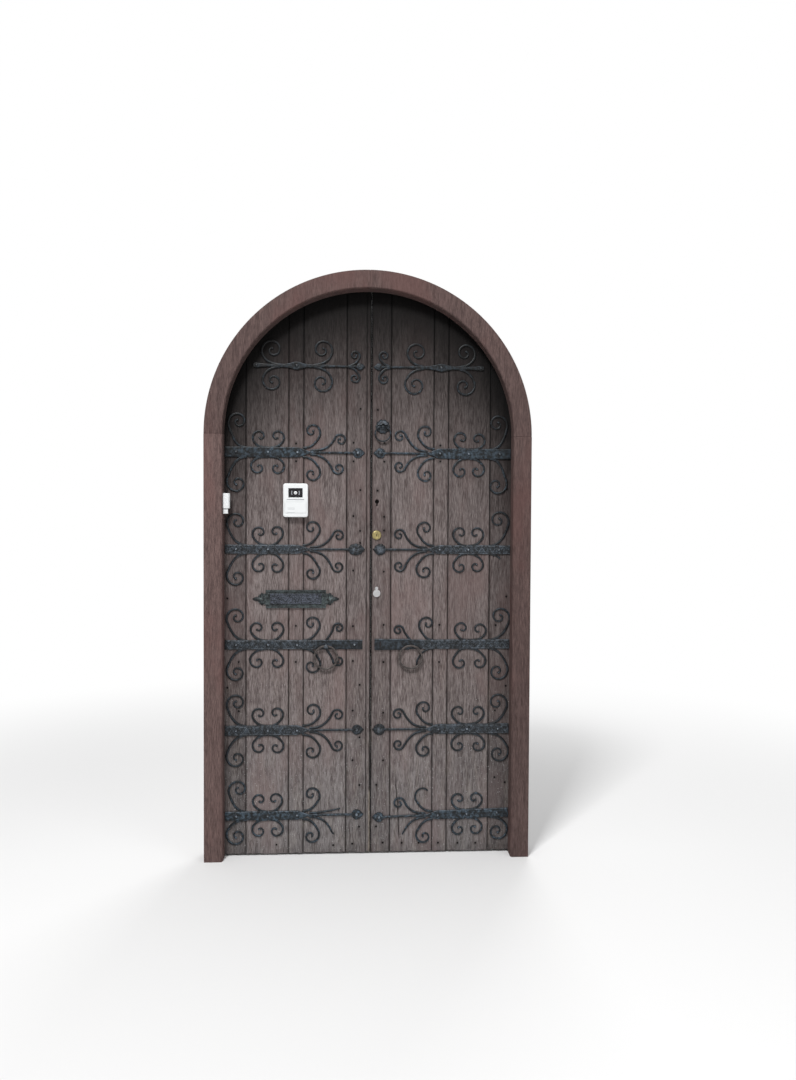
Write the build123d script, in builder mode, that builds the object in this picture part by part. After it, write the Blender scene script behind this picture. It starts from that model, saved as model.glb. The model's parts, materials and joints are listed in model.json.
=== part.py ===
from build123d import *
import os
from math import acos, cos, degrees, radians, sin, sqrt

# A pair of narrow round-arched oak leaves in a rebated timber frame, with
# forged strap ironwork on the outside and its working ironmongery.
# X runs to the right seen from outside, Y runs inwards through the doorway,
# Z runs up. The origin is on the floor, under the middle of the whole part.
# All sizes are in millimetres.

# Frame
CLEAR_WIDTH = 1200.0
SPRING_HEIGHT = 1764.0
STOP_DEPTH = 60.0
STOP_HEIGHT = 15.0
FRAME_FACE = 75.0
FRAME_ARRIS = 5.0
FIXING_HOLE_RADIUS = 4.5
FIXING_HOLE_SPACING = 490.0
FIXING_HOLE_MIDDLE = 880.0
FIXING_HOLE_COUNT = 4

# Leaves
LEAF_EDGE_GAP = 4.0
LEAF_STOP_GAP = 1.0
LEAF_FOOT_GAP = 8.0
MEETING_LINE_X = 9.5
MEETING_GAP = 1.4
MEETING_BEVEL = 3.4
BOARD_THICK = 20.0
BOARD_JOINT = 1.0
BOARD_ARRIS = 2.5
TONGUE_REACH = 7.0
TONGUE_THICK = 7.0
TONGUE_GAP = 0.3
SEAMS = (93.0, 272.0, 334.0, 511.0)
MEMBER_THICK = 35.0
STILE_WIDTH = 110.0
BOTTOM_RAIL_HEIGHT = 190.0
LOCK_RAIL_HEIGHT = 160.0
LOCK_RAIL_Z = 955.0
TENON_THICK = 12.0
TENON_LENGTH = 60.0
TENON_SHOULDER = 15.0
MORTISE_GAP = 0.3
BEAD_WIDTH = 19.0
BEAD_QUIRK = 2.0

# Straps
IRON_THICK = 6.0
STRAP_END_GAP = 2.0
STRAP_TIP_X = 18.0
STRAP_HEIGHTS = (1698.0, 1294.0, 891.0, 527.0, 170.0)
TOP_STRAP_RISE = 290.0
TOP_STRAP_INSET = 58.0
STRAP_BAR_HEIGHTS = (14.0, 43.0, 38.0, 40.0, 43.0, 38.0)
STRAP_BAR_LENGTH = 357.0
STRAP_TAPER = 60.0
STEM_HEIGHT = 9.0
BENT_STRAP_TILT = 1.4
SCROLL_ROOT_WIDTH = 10.0
SCROLL_TIP_WIDTH = 7.0
SCROLL_SAGITTA = 2.2
SCROLL_PULL = 0.42
SCROLL_LEAD_STEP = 34.0
RIVET_RADIUS = 8.0
RIVET_HEIGHT = 4.0
RIVET_SIDES = 6
RIVET_TAPER = 35.0

# Hook and band hinges
HINGE_HEIGHTS = (258.0, 955.0, 1640.0)
BAND_LENGTHS = (400.0, 400.0, 106.0)
PIN_RADIUS = 8.0
PIN_RUNNING_GAP = 0.05
PIN_OUTSET = 7.0
PIN_SETBACK = 16.0
EYE_RADIUS = 14.0
BAND_HEIGHT = 50.0
BAND_TIP_HEIGHT = 34.0
BAND_BOLTS = (45.0, 80.0, 210.0, 340.0)
BAND_THICK = 6.0
HOOK_SHOULDER = 14.0
HOOK_PLATE_HEIGHT = 120.0
HOOK_PLATE_WIDTH = 38.0
EYE_SEAT_GAP = 0.3
PIN_PROUD = 5.0
HOOK_SHANK_THICK = 19.0
HOOK_COLLAR_RADIUS = 13.0
BOLT_HEAD_RADIUS = 9.0
BOLT_HEAD_SIDES = 6

# Ring pulls
RING_RADIUS = 48.0
RING_BAR = 8.0
RING_SIDES = 24
RING_BEVEL = 0.28
RING_HANG_Z = 886.0
RING_X = 178.0
STAPLE_WIDTH = 17.0
STAPLE_WALL = 4.0
STAPLE_GAP = 0.6
STAPLE_STAND_OFF = 1.0

# Knocker
KNOCKER_X = 57.0
KNOCKER_Z = 1806.0
KNOCKER_ROSE_RADIUS = 31.0
KNOCKER_ROSE_THICK = 4.0
KNOCKER_HOOD_RADIUS = 24.0
KNOCKER_HOOD_REACH = 22.0
KNOCKER_HOOD_TAPER = 25.0
KNOCKER_LOBES = 10
KNOCKER_LOBE_RADIUS = 6.0
KNOCKER_LOBE_SIDES = 6
KNOCKER_SIDES = 20
KNOCKER_EYE_OUT = 2.0
KNOCKER_HANG_RISE = 2.0
KNOCKER_RING_RADIUS = 32.0
KNOCKER_RING_BAR = 6.0
KNOCKER_LUG_WIDTH = 10.0

# Letter plate
LETTER_X = -303.6
LETTER_Z = 1083.0
LETTER_WIDTH = 250.0
LETTER_HEIGHT = 75.0
LETTER_POINT = 54.0
LETTER_POINT_PROFILE = ((-1, 24), (8, 22), (16, 9), (22, 18), (30, 16), (32, 6))
LETTER_THICK = 5.0
LETTER_BEAD = 8.0
LETTER_BEAD_RISE = 2.0
FLAP_LUG_WIDTH = 7.0
FLAP_LUG_WALL = 2.5
FLAP_LUG_GAP = 1.5
FLAP_WIDTH = 214.0
FLAP_HEIGHT = 46.0
FLAP_THICK = 3.0
FLAP_PIN_RADIUS = 2.5
FLAP_PIN_OFF = 1.5
FLAP_SEAT_GAP = 0.3
SLOT_WIDTH = 190.0
SLOT_HEIGHT = 34.0

# Door station
STATION_X = -304.6
STATION_Z = 1495.0
STATION_WIDTH = 102.0
STATION_HEIGHT = 140.0
STATION_THICK = 24.0
STATION_CORNER = 10.0
WINDOW_WIDTH = 59.0
WINDOW_HEIGHT = 39.0
WINDOW_RISE = 31.0
BUTTON_WIDTH = 88.0
BUTTON_HEIGHT = 46.0
BUTTON_DROP = 30.0
BUTTON_THICK = 5.0
BUTTON_TRAVEL = 1.5
BUTTON_GAP = 0.4
BUTTON_PROUD = 1.0
WINDOW_DEPTH = 1.0
STATION_ARRIS = 2.5

# Locks
LATCH_X = 33.0
LATCH_Z = 1352.0
CYLINDER_RIM_RADIUS = 19.5
CYLINDER_RIM_THICK = 8.0
CYLINDER_RIM_BEVEL = 3.0
CYLINDER_BODY_RADIUS = 14.0
CYLINDER_HOLE_GAP = 0.5
PLUG_RADIUS = 9.0
PLUG_RUNNING_GAP = 0.05
PLUG_INSET = 1.0
KEYWAY_WIDTH = 2.4
KEYWAY_HEIGHT = 9.0
KEYWAY_DEPTH = 25.0
CASE_WIDTH = 72.0
CASE_HEIGHT = 92.0
CASE_DEPTH = 28.0
CASE_EDGE_GAP = 5.0
CASE_ARRIS = 3.0
LATCH_BOLT_HEIGHT = 22.0
LATCH_BOLT_THICK = 13.0
LATCH_BOLT_LENGTH = 40.0
LATCH_BOLT_THROW = 18.0
LATCH_BOLT_GAP = 0.4
KNOB_RADIUS = 20.0
KNOB_NECK_RADIUS = 7.0
KNOB_BEVEL = 3.0
KNOB_REACH = 26.0
KNOB_EDGE = 4.0
KEEP_SETBACK = 4.0
KEEP_BEYOND = 20.0
KEEP_HEIGHT = 56.0
KEEP_WALL = 4.0
OLD_KEYHOLE_Z = 1492.0
OLD_KEYHOLE_RADIUS = 7.0
OLD_KEYHOLE_PLUG = 8.0
COVER_PIN_X = 34.0
COVER_PIN_Z = 1128.0
COVER_PIN_RADIUS = 4.5
COVER_DROP = 21.0
COVER_RADIUS = 15.5
COVER_THICK = 3.5
COVER_PLATE_THICK = 2.0
COVER_PLATE_RIM = 2.0
COVER_OVERHANG = 1.0
COVER_SHAFT_RADIUS = 2.5
COVER_HEAD_THICK = 2.0
KEY_SLOT_WIDTH = 5.0
KEY_SLOT_HEIGHT = 12.0

# Tower bolts
TOWER_X = -62.0
ROD_RADIUS = 6.0
ROD_GAP = 0.05
ROD_SETBACK = 11.0
TOP_ROD_LENGTH = 620.0
TOP_ROD_THROW = 40.0
FOOT_ROD_LENGTH = 330.0
FOOT_ROD_THROW = 45.0
FOOT_ROD_REST_Z = 30.0
TOWER_PLATE_WIDTH = 40.0
TOWER_PLATE_THICK = 3.0
TOWER_STAPLE_WIDTH = 24.0
TOWER_STAPLE_HEIGHT = 22.0
TOWER_STAPLE_WALL = 4.0
ROD_HANDLE_RADIUS = 5.0
ROD_HANDLE_LENGTH = 24.0
ROD_TOP_GAP = 4.0
PLATE_ABOVE_FOOT = 50.0
PLATE_BELOW_TIP = 22.0
STAPLE_INSET = 4.0
HANDLE_RISE = 24.0
BOLT_KEEP_RISE = 10.0
BOLT_KEEP_GAP = 2.0

# Door contact on the left reveal
CONTACT_Z = 1480.0
CONTACT_HEIGHT = 84.0
CONTACT_REACH = 28.0
CONTACT_DEPTH = 26.0
CONTACT_FOOT = 22.0
CONTACT_FOOT_INSET = 8.0
CONTACT_FOOT_WIDTH = 16.0

# Sizes that follow from the ones above
CLEAR_HALF = CLEAR_WIDTH / 2
REBATE_HALF = CLEAR_HALF + STOP_HEIGHT
FRAME_HALF = CLEAR_HALF + FRAME_FACE
LEAF_HALF = REBATE_HALF - LEAF_EDGE_GAP
LEAF_THICK = BOARD_THICK + MEMBER_THICK
FRAME_DEPTH = STOP_DEPTH + LEAF_THICK
OVERALL_DEPTH = FRAME_DEPTH + LEAF_STOP_GAP + CASE_DEPTH + KNOB_REACH
FRONT_Y = -OVERALL_DEPTH / 2
STOP_Y = FRONT_Y + STOP_DEPTH
FRAME_BACK_Y = FRONT_Y + FRAME_DEPTH
FACE_Y = STOP_Y + LEAF_STOP_GAP
MEMBER_Y = FACE_Y + BOARD_THICK
BACK_Y = FACE_Y + LEAF_THICK
PIN_X = LEAF_HALF + PIN_OUTSET
PIN_Y = BACK_Y + PIN_SETBACK
STRAP_END = CLEAR_HALF - STRAP_END_GAP
LEAF_TOP_Z = SPRING_HEIGHT + LEAF_HALF
STRAP_REACH = STRAP_END - STRAP_TIP_X
TOP_STRAP_END = sqrt(LEAF_HALF ** 2 - TOP_STRAP_RISE ** 2) - TOP_STRAP_INSET
TOP_STRAP_REACH = TOP_STRAP_END - STRAP_TIP_X
STRAP_PLACES = [(TOP_STRAP_END, SPRING_HEIGHT + TOP_STRAP_RISE)] + [(STRAP_END, z) for z in STRAP_HEIGHTS]
RING_EYE = RING_BAR / 2 + (STAPLE_WIDTH / 2) ** 2 / (2 * RING_RADIUS) + STAPLE_GAP
RING_Y = FACE_Y - IRON_THICK - RING_EYE - STAPLE_STAND_OFF
KNOCKER_EYE = KNOCKER_RING_BAR / 2 + (KNOCKER_LUG_WIDTH / 2) ** 2 / (2 * KNOCKER_RING_RADIUS) + STAPLE_GAP
KNOCKER_RING_Y = FACE_Y - KNOCKER_ROSE_THICK - KNOCKER_EYE - KNOCKER_EYE_OUT
KNOCKER_HANG_Z = KNOCKER_Z + KNOCKER_HANG_RISE
LEFT_INNER_X = MEETING_LINE_X - MEETING_GAP / 2
RIGHT_INNER_X = MEETING_LINE_X + MEETING_GAP / 2
SLOT_NEAR = abs(LETTER_X) - SLOT_WIDTH / 2
SLOT_FAR = abs(LETTER_X) + SLOT_WIDTH / 2
SIDES = {"left": -1, "right": 1}

os.makedirs("parts", exist_ok=True)


def facing(y):
    """A sketch plane at depth y whose local axes are X and Z; it extrudes outwards."""
    return Plane.XZ.offset(-y)


def save(piece, name):
    """Label a finished piece and write it."""
    piece.part.label = name
    export_step(piece.part, f"parts/{name}.step")


def inner_edge(side):
    """X of the meeting edge of one leaf."""
    return LEFT_INNER_X if side < 0 else RIGHT_INNER_X


def polygon(points):
    """A closed face through the points, in the current sketch."""
    Polygon(*points, align=None)


def span(x1, x2, z1, z2):
    """A rectangle between two corners, in the current sketch."""
    with Locations(((x1 + x2) / 2, (z1 + z2) / 2)):
        Rectangle(abs(x2 - x1), abs(z2 - z1))


def arch_outline(x1, x2):
    """The leaves' arched outline between x1 and x2, in the current sketch."""
    span(x1, x2, LEAF_FOOT_GAP, LEAF_TOP_Z)
    with Locations((0, SPRING_HEIGHT)):
        outline = Circle(LEAF_HALF, mode=Mode.PRIVATE)
    with Locations((0, (LEAF_FOOT_GAP + SPRING_HEIGHT) / 2)):
        outline += Rectangle(2 * LEAF_HALF, SPRING_HEIGHT - LEAF_FOOT_GAP, mode=Mode.PRIVATE)
    add(outline, mode=Mode.INTERSECT)


# Frame: the section is drawn once and serves the jambs and the arched head

def frame_section(side):
    """The rebated section with its softened front arris, in the current sketch."""
    points = [
        (CLEAR_HALF + FRAME_ARRIS, FRONT_Y),
        (FRAME_HALF, FRONT_Y),
        (FRAME_HALF, FRAME_BACK_Y),
        (REBATE_HALF, FRAME_BACK_Y),
        (REBATE_HALF, STOP_Y),
        (CLEAR_HALF, STOP_Y),
        (CLEAR_HALF, FRONT_Y + FRAME_ARRIS),
    ]
    polygon([(side * x, y) for x, y in points])


for name, side in SIDES.items():
    with BuildPart() as jamb:
        with BuildSketch(Plane.XY):
            frame_section(side)
        extrude(amount=SPRING_HEIGHT)
        hole_y = (STOP_Y + FRAME_BACK_Y) / 2
        with BuildSketch(Plane.YZ.offset(side * REBATE_HALF)):
            with Locations((hole_y, FIXING_HOLE_MIDDLE)):
                with GridLocations(1, FIXING_HOLE_SPACING, 1, FIXING_HOLE_COUNT):
                    Circle(FIXING_HOLE_RADIUS)
        extrude(amount=side * FRAME_FACE, mode=Mode.SUBTRACT)
    save(jamb, f"jamb_{name}")

    with BuildPart() as head:
        with BuildSketch(Plane.XY.offset(SPRING_HEIGHT)):
            frame_section(side)
        revolve(axis=Axis((0, 0, SPRING_HEIGHT), (0, -side, 0)), revolution_arc=90)
    save(head, f"head_{name}")


# Planks: five to a leaf, tongued and grooved, with a V at each joint

def plank_section(x1, x2, tongue, groove, quirk=None):
    """A plank's section from x1 to x2 (x1 nearer the meeting line), in the current sketch."""
    way = 1 if x2 > x1 else -1
    middle = FACE_Y + BOARD_THICK / 2
    half = TONGUE_THICK / 2
    slot = half + TONGUE_GAP
    front, back = FACE_Y, MEMBER_Y
    points = [(x1 + way * BOARD_ARRIS, front), (x2 - way * BOARD_ARRIS, front), (x2, front + BOARD_ARRIS)]
    if tongue:
        reach = x2 + way * TONGUE_REACH
        points += [(x2, middle - half), (reach, middle - half), (reach, middle + half), (x2, middle + half)]
    points += [(x2, back), (x1, back)]
    if groove:
        reach = x1 + way * (TONGUE_REACH - BOARD_JOINT + 2 * TONGUE_GAP)
        points += [(x1, middle + slot), (reach, middle + slot), (reach, middle - slot), (x1, middle - slot)]
    points += [(x1, front + BOARD_ARRIS)]
    polygon(points)
    if quirk is not None:
        with Locations((quirk, front)):
            Rectangle(BEAD_QUIRK, 2 * BEAD_QUIRK, mode=Mode.SUBTRACT)


def key_slot_cut(x, z, radius):
    """An old keyhole: a round eye over a slot, cut into the leaf at x, z and plugged at the back."""
    with BuildSketch(facing(BACK_Y - OLD_KEYHOLE_PLUG)) as hole:
        with Locations((x, z)):
            Circle(radius)
        with Locations((x, z - radius)):
            Rectangle(radius, 2 * radius)
    extrude(hole.sketch, amount=LEAF_THICK - OLD_KEYHOLE_PLUG, mode=Mode.SUBTRACT)


def meeting_bevel(side):
    """Plane the meeting edge back towards the inside, so that either leaf swings clear of the other."""
    edge = inner_edge(side)
    with BuildSketch(Plane.XY.offset(LEAF_FOOT_GAP)) as wedge:
        waste = edge - side * BOARD_ARRIS
        polygon([(edge, FACE_Y), (edge + side * MEETING_BEVEL, BACK_Y), (waste, BACK_Y), (waste, FACE_Y)])
    extrude(wedge.sketch, amount=LEAF_TOP_Z - LEAF_FOOT_GAP, mode=Mode.SUBTRACT)


def lock_holes():
    """What is bored through the right leaf's meeting edge for its locks."""
    with BuildSketch(facing(BACK_Y)) as holes:
        with Locations((LATCH_X, LATCH_Z)):
            Circle(CYLINDER_BODY_RADIUS + CYLINDER_HOLE_GAP)
        with Locations((COVER_PIN_X, COVER_PIN_Z - COVER_DROP)):
            Rectangle(KEY_SLOT_WIDTH, KEY_SLOT_HEIGHT)
    extrude(holes.sketch, amount=LEAF_THICK, mode=Mode.SUBTRACT)
    key_slot_cut(LATCH_X + 1, OLD_KEYHOLE_Z, OLD_KEYHOLE_RADIUS)


for name, side in SIDES.items():
    joints = [inner_edge(side)] + [side * seam for seam in SEAMS] + [side * LEAF_HALF]
    for number in range(len(SEAMS) + 1):
        first, last = number == 0, number == len(SEAMS)
        x1 = joints[number] + (0 if first else side * BOARD_JOINT / 2)
        x2 = joints[number + 1] - (0 if last else side * BOARD_JOINT / 2)
        bead = inner_edge(side) - BEAD_WIDTH if first and side < 0 else None
        with BuildPart() as plank:
            with BuildSketch(Plane.XY.offset(LEAF_FOOT_GAP)):
                plank_section(x1, x2, not last, not first, bead)
            extrude(amount=LEAF_TOP_Z - LEAF_FOOT_GAP)
            with BuildSketch(facing(MEMBER_Y)):
                arch_outline(-LEAF_HALF, LEAF_HALF)
            extrude(amount=BOARD_THICK, mode=Mode.INTERSECT)
            if first:
                meeting_bevel(side)
            if first and side > 0:
                lock_holes()
            if side < 0 and abs(x1) < SLOT_FAR and abs(x2) > SLOT_NEAR:
                with BuildSketch(facing(MEMBER_Y)):
                    with Locations((LETTER_X, LETTER_Z)):
                        Rectangle(SLOT_WIDTH, SLOT_HEIGHT)
                extrude(amount=BOARD_THICK, mode=Mode.SUBTRACT)
        save(plank, f"{name}_board_{number + 1}")


# Stiles and rails behind the planks, tenoned together

def rail_box(side, z1, z2, reach, thick, shrink, mode=Mode.ADD):
    """A rail or tenon across the leaf, between the stiles plus reach each way, in the current part."""
    x1 = inner_edge(side) + side * (STILE_WIDTH - reach)
    x2 = side * (LEAF_HALF - STILE_WIDTH + reach)
    y = MEMBER_Y + MEMBER_THICK / 2 + thick / 2
    with BuildSketch(facing(y)) as outline:
        span(x1, x2, z1 + shrink, z2 - shrink)
    return extrude(outline.sketch, amount=thick, mode=mode)


RAILS = {
    "bottom_rail": (LEAF_FOOT_GAP, LEAF_FOOT_GAP + BOTTOM_RAIL_HEIGHT),
    "lock_rail": (LOCK_RAIL_Z - LOCK_RAIL_HEIGHT / 2, LOCK_RAIL_Z + LOCK_RAIL_HEIGHT / 2),
}


def mortises(side):
    """Cut every rail's mortise, a little larger than its tenon, in the current part."""
    for low, high in RAILS.values():
        rail_box(side, low, high, TENON_LENGTH + MORTISE_GAP, TENON_THICK + 2 * MORTISE_GAP,
                 TENON_SHOULDER - MORTISE_GAP, mode=Mode.SUBTRACT)


for name, side in SIDES.items():
    meeting, hanging = inner_edge(side), side * LEAF_HALF
    with BuildPart() as stile:
        with BuildSketch(facing(BACK_Y)):
            span(hanging, hanging - side * STILE_WIDTH, LEAF_FOOT_GAP, SPRING_HEIGHT)
        extrude(amount=MEMBER_THICK)
        mortises(side)
    save(stile, f"{name}_hanging_stile")

    with BuildPart() as stile:
        with BuildSketch(facing(BACK_Y)):
            arch_outline(meeting, meeting + side * STILE_WIDTH)
        extrude(amount=MEMBER_THICK)
        meeting_bevel(side)
        mortises(side)
        if side > 0:
            lock_holes()
    save(stile, f"{name}_meeting_stile")

    for rail, (low, high) in RAILS.items():
        with BuildPart() as member:
            rail_box(side, low, high, 0, MEMBER_THICK, 0)
            rail_box(side, low, high, TENON_LENGTH, TENON_THICK, TENON_SHOULDER)
        save(member, f"{name}_{rail}")

    with BuildPart() as head_rail:
        with BuildSketch(facing(BACK_Y)):
            with Locations((0, SPRING_HEIGHT)):
                Circle(LEAF_HALF)
                Circle(LEAF_HALF - STILE_WIDTH, mode=Mode.SUBTRACT)
            stile_side = meeting + side * STILE_WIDTH
            with Locations(((stile_side + hanging) / 2, SPRING_HEIGHT + LEAF_HALF / 2)):
                Rectangle(abs(hanging - stile_side), LEAF_HALF, mode=Mode.INTERSECT)
        extrude(amount=MEMBER_THICK)
    save(head_rail, f"{name}_head_rail")


# Strap ironwork. A strap is drawn with u along it from its hinge end and v
# up from its middle line. A scroll leaves the bar, sweeps up on a cubic curve
# and winds into its eye on a spiral whose radius falls evenly with the angle.
# Its facets get shorter with the radius, so that each strays as far from the curve.

def scroll_points(root, heading, eye, start, turn, outer, tip):
    """Points along a scroll's middle line, from its root to its eye."""
    way = 1 if turn > 0 else -1
    first = (eye[0] + outer * cos(radians(start)), eye[1] + outer * sin(radians(start)))
    gap = sqrt((first[0] - root[0]) ** 2 + (first[1] - root[1]) ** 2)
    arm = gap * SCROLL_PULL
    pull = (root[0] + arm * heading[0], root[1] + arm * heading[1])
    ease = (first[0] + way * arm * sin(radians(start)), first[1] - way * arm * cos(radians(start)))
    points = []
    lead = max(2, round(gap / SCROLL_LEAD_STEP))
    for step in range(lead):
        t = step / lead
        weights = ((1 - t) ** 3, 3 * t * (1 - t) ** 2, 3 * t * t * (1 - t), t ** 3)
        corners = (root, pull, ease, first)
        points.append(tuple(sum(w * c[axis] for w, c in zip(weights, corners)) for axis in (0, 1)))
    share = 0.0
    while share <= 1:
        angle = radians(start + turn * share)
        radius = outer + (tip - outer) * share
        points.append((eye[0] + radius * cos(angle), eye[1] + radius * sin(angle)))
        share += degrees(2 * acos(1 - SCROLL_SAGITTA / radius)) / abs(turn)
    return points


def ribbon(points, wide, narrow):
    """The outline of a bar that follows the points and tapers to its end."""
    left, right = [], []
    last = len(points) - 1
    for index, (u, v) in enumerate(points):
        before, after = points[max(index - 1, 0)], points[min(index + 1, last)]
        du, dv = after[0] - before[0], after[1] - before[1]
        size = sqrt(du * du + dv * dv)
        half = (wide + (narrow - wide) * index / last) / 2
        left.append((u - dv / size * half, v + du / size * half))
        right.append((u + dv / size * half, v - du / size * half))
    return left + right[::-1]


# The kinds of scroll on a strap: root, heading, eye, start angle, turn, outer and tip radius
EDGE = ((92, 17), (-1, 0.1), (55, 127), 190, -425, 39, 7)
PAIR_LEFT = ((172, 19), (-1, 0), (144, 57), 215, -420, 28, 6)
PAIR_RIGHT = ((196, 19), (1, 0), (221, 55), -35, 420, 27, 6)
BRANCH = ((318, 19), (1, 0), (374, 78), -28, 425, 31, 6)
CURL = ((352, 8), (1, 0), (470, 44), 160, -420, 21, 6)
SQUARE_CURL = ((424, 17), (0.6, 0.8), (464, 72), 165, -420, 21, 6)
TOP_OUTER = ((108, 4), (-1, 0.15), (76, 66), 205, -440, 38, 7)
TOP_INNER = ((250, 4), (1, 0.15), (283, 69), -25, 440, 38, 7)
TOP_CURL = ((392, 3), (1, 0.1), (416, 47), -30, 400, 21, 6)
STANDARD = (EDGE, PAIR_LEFT, PAIR_RIGHT, BRANCH, CURL)
SQUARE = (EDGE, PAIR_LEFT, PAIR_RIGHT, BRANCH, SQUARE_CURL)
TOP = (TOP_OUTER, TOP_INNER, TOP_CURL)

# What is broken off: strap number, upper (1) or lower (-1) and how much of the scroll is left
BROKEN = {
    ("left", 5, 1, CURL): 0.0,
    ("left", 5, -1, CURL): 0.3,
    ("right", 2, -1, EDGE): 0.1,
    ("right", 3, -1, BRANCH): 0.3,
    ("right", 3, -1, SQUARE_CURL): 0.0,
    ("right", 5, 1, EDGE): 0.0,
    ("right", 5, 1, BRANCH): 0.55,
    ("right", 5, -1, CURL): 0.25,
}
FLATTENED_STRAP = ("left", 5)
FLAT_CURL = ((352, 8), (432, 14), (482, 26))
BENT_STRAP = ("right", 5)
LOCK_PLATE_SIDE = "right"

# Outlines as shares: the top strap's edge by its length in mm, and a bud from its middle
TOP_PROFILE = ((0, 1), (30, 0.6), (90, 0.7), (150, 0.7), (178, 1.9), (206, 0.7), (250, 0.6))
BUD_PROFILE = ((-1, 0.15), (-0.6, 0.75), (-0.1, 1), (0.4, 0.8))
RIVETS = (47.0, 178.0, 300.0)
DISC_RADIUS = 21.0
DISC_HALF_LENGTH = 29.0
LEAF_BUD_HALF = 25.0
LEAF_BUD_HALF_LENGTH = 36.0
SPEAR_HALF = 16.0
SPEAR_HALF_LENGTH = 22.0
SQUARE_END_INSET = 6.0
SQUARE_END_RIVET = 40.0
LOCK_PLATE_HALF = 23.5
LOCK_PLATE_LENGTH = 155.0
LOCK_PLATE_CORNER = 20.0
LOCK_SLOT_WIDTH = 4.0
LOCK_SLOT_HEIGHT = 26.0
LOCK_SLOT_INSET = 32.0
TOP_RIVETS = (12.0, 178.0)


def strap_plane(name, number, y):
    """The sketch plane of a strap: local x runs to the right, from the strap's outer end."""
    x, z = STRAP_PLACES[number]
    tilt = radians(BENT_STRAP_TILT if (name, number) == BENT_STRAP else 0)
    return Plane(origin=(SIDES[name] * x, y, z), x_dir=(cos(tilt), 0, sin(tilt)), z_dir=(0, -1, 0))


def mirrored(upper):
    """A closed outline from its upper edge, mirrored below the strap's middle line."""
    return upper + [(u, -v) for u, v in reversed(upper) if v > 0]


def bud(tip, half_length, half):
    """The outline of a forged bud that ends in a point."""
    centre = tip - half_length
    upper = [(centre + half_length * along, half * rise) for along, rise in BUD_PROFILE]
    return mirrored(upper + [(tip, 0)])


def lock_plate():
    """The outline of the lock plate that ends one strap, its lower end corner cut round."""
    end, near = STRAP_REACH, STRAP_REACH - LOCK_PLATE_LENGTH
    half, corner = LOCK_PLATE_HALF, LOCK_PLATE_CORNER
    return [(near, half), (end, half), (end, corner - half), (end - corner * (1 - cos(radians(45))),
            corner * (1 - sin(radians(45))) - half), (end - corner, -half), (near, -half)]


def strap_shapes(name, number):
    """Every outline of one strap in u and v, and its rivets."""
    half = STRAP_BAR_HEIGHTS[number] / 2
    stem = STEM_HEIGHT / 2
    shapes = []
    if number == 0:
        kinds = TOP
        neck = TOP_STRAP_REACH - 2 * SPEAR_HALF_LENGTH
        shapes.append(mirrored([(u, half * rise) for u, rise in TOP_PROFILE] + [(neck, stem)]))
        shapes.append(bud(TOP_STRAP_REACH, SPEAR_HALF_LENGTH, SPEAR_HALF))
        rivets = TOP_RIVETS + (TOP_STRAP_REACH - SPEAR_HALF_LENGTH,)
    elif number == 3:
        kinds = SQUARE
        end = STRAP_REACH - SQUARE_END_INSET
        shapes.append(mirrored([(0, half), (end, half)]))
        if name == LOCK_PLATE_SIDE:
            shapes.append(lock_plate())
        rivets = RIVETS + (STRAP_REACH - SQUARE_END_RIVET,) * (name != LOCK_PLATE_SIDE)
    else:
        kinds = STANDARD
        half_length, half_height = (LEAF_BUD_HALF_LENGTH, LEAF_BUD_HALF) if number == 2 else (
            DISC_HALF_LENGTH, DISC_RADIUS)
        neck = STRAP_REACH - half_length
        shapes.append(mirrored([(0, half), (STRAP_BAR_LENGTH - STRAP_TAPER, half), (STRAP_BAR_LENGTH, stem),
                                (neck, stem)]))
        shapes.append(bud(STRAP_REACH, half_length, half_height))
        rivets = RIVETS + (neck,)
    lift = half - STRAP_BAR_HEIGHTS[1] / 2
    for kind in kinds:
        root, heading, eye, start, turn, outer, tip = kind
        shift = 0 if number == 0 or kind == CURL else lift
        for flip in (1, -1):
            left_over = BROKEN.get((name, number, flip, kind), 1.0)
            if left_over == 0.0:
                continue
            points = scroll_points((root[0], root[1] + shift), heading, eye, start, turn, outer, tip)
            keep = max(3, round(len(points) * left_over))
            outline = ribbon(points[:keep], SCROLL_ROOT_WIDTH, SCROLL_TIP_WIDTH)
            shapes.append([(u, flip * v) for u, v in outline])
    if (name, number) == FLATTENED_STRAP:
        shapes.append(ribbon(list(FLAT_CURL), SCROLL_ROOT_WIDTH, SCROLL_TIP_WIDTH))
    return shapes, rivets


def eye_lug(x, z, y, eye, back, width):
    """A forged lug from the iron at back, with an eye for a ring on the line y, z, in the current part."""
    wall = eye + STAPLE_WALL
    with BuildSketch(Plane.YZ.offset(x - width / 2)) as profile:
        with Locations((y, z)):
            Circle(wall)
        span(y, back, z - wall, z + wall)
        with Locations((y, z)):
            Circle(eye, mode=Mode.SUBTRACT)
    extrude(profile.sketch, amount=width)


for name, side in SIDES.items():
    for number in range(len(STRAP_PLACES)):
        shapes, rivets = strap_shapes(name, number)
        with BuildPart() as strap:
            with BuildSketch(strap_plane(name, number, FACE_Y)):
                for shape in shapes:
                    polygon([(-side * u, v) for u, v in shape])
                if number == 3 and name == LOCK_PLATE_SIDE:
                    with Locations((-side * (STRAP_REACH - LOCK_SLOT_INSET), 0)):
                        Rectangle(LOCK_SLOT_WIDTH, LOCK_SLOT_HEIGHT, mode=Mode.SUBTRACT)
            extrude(amount=IRON_THICK)
            with BuildSketch(strap_plane(name, number, FACE_Y - IRON_THICK)):
                with Locations([(-side * u, 0) for u in rivets]):
                    RegularPolygon(RIVET_RADIUS, RIVET_SIDES)
            extrude(amount=RIVET_HEIGHT, taper=RIVET_TAPER)
            if number == 3:
                eye_lug(side * RING_X, RING_HANG_Z, RING_Y, RING_EYE, FACE_Y - IRON_THICK, STAPLE_WIDTH)
        save(strap, f"{name}_strap_{number + 1}")


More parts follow.
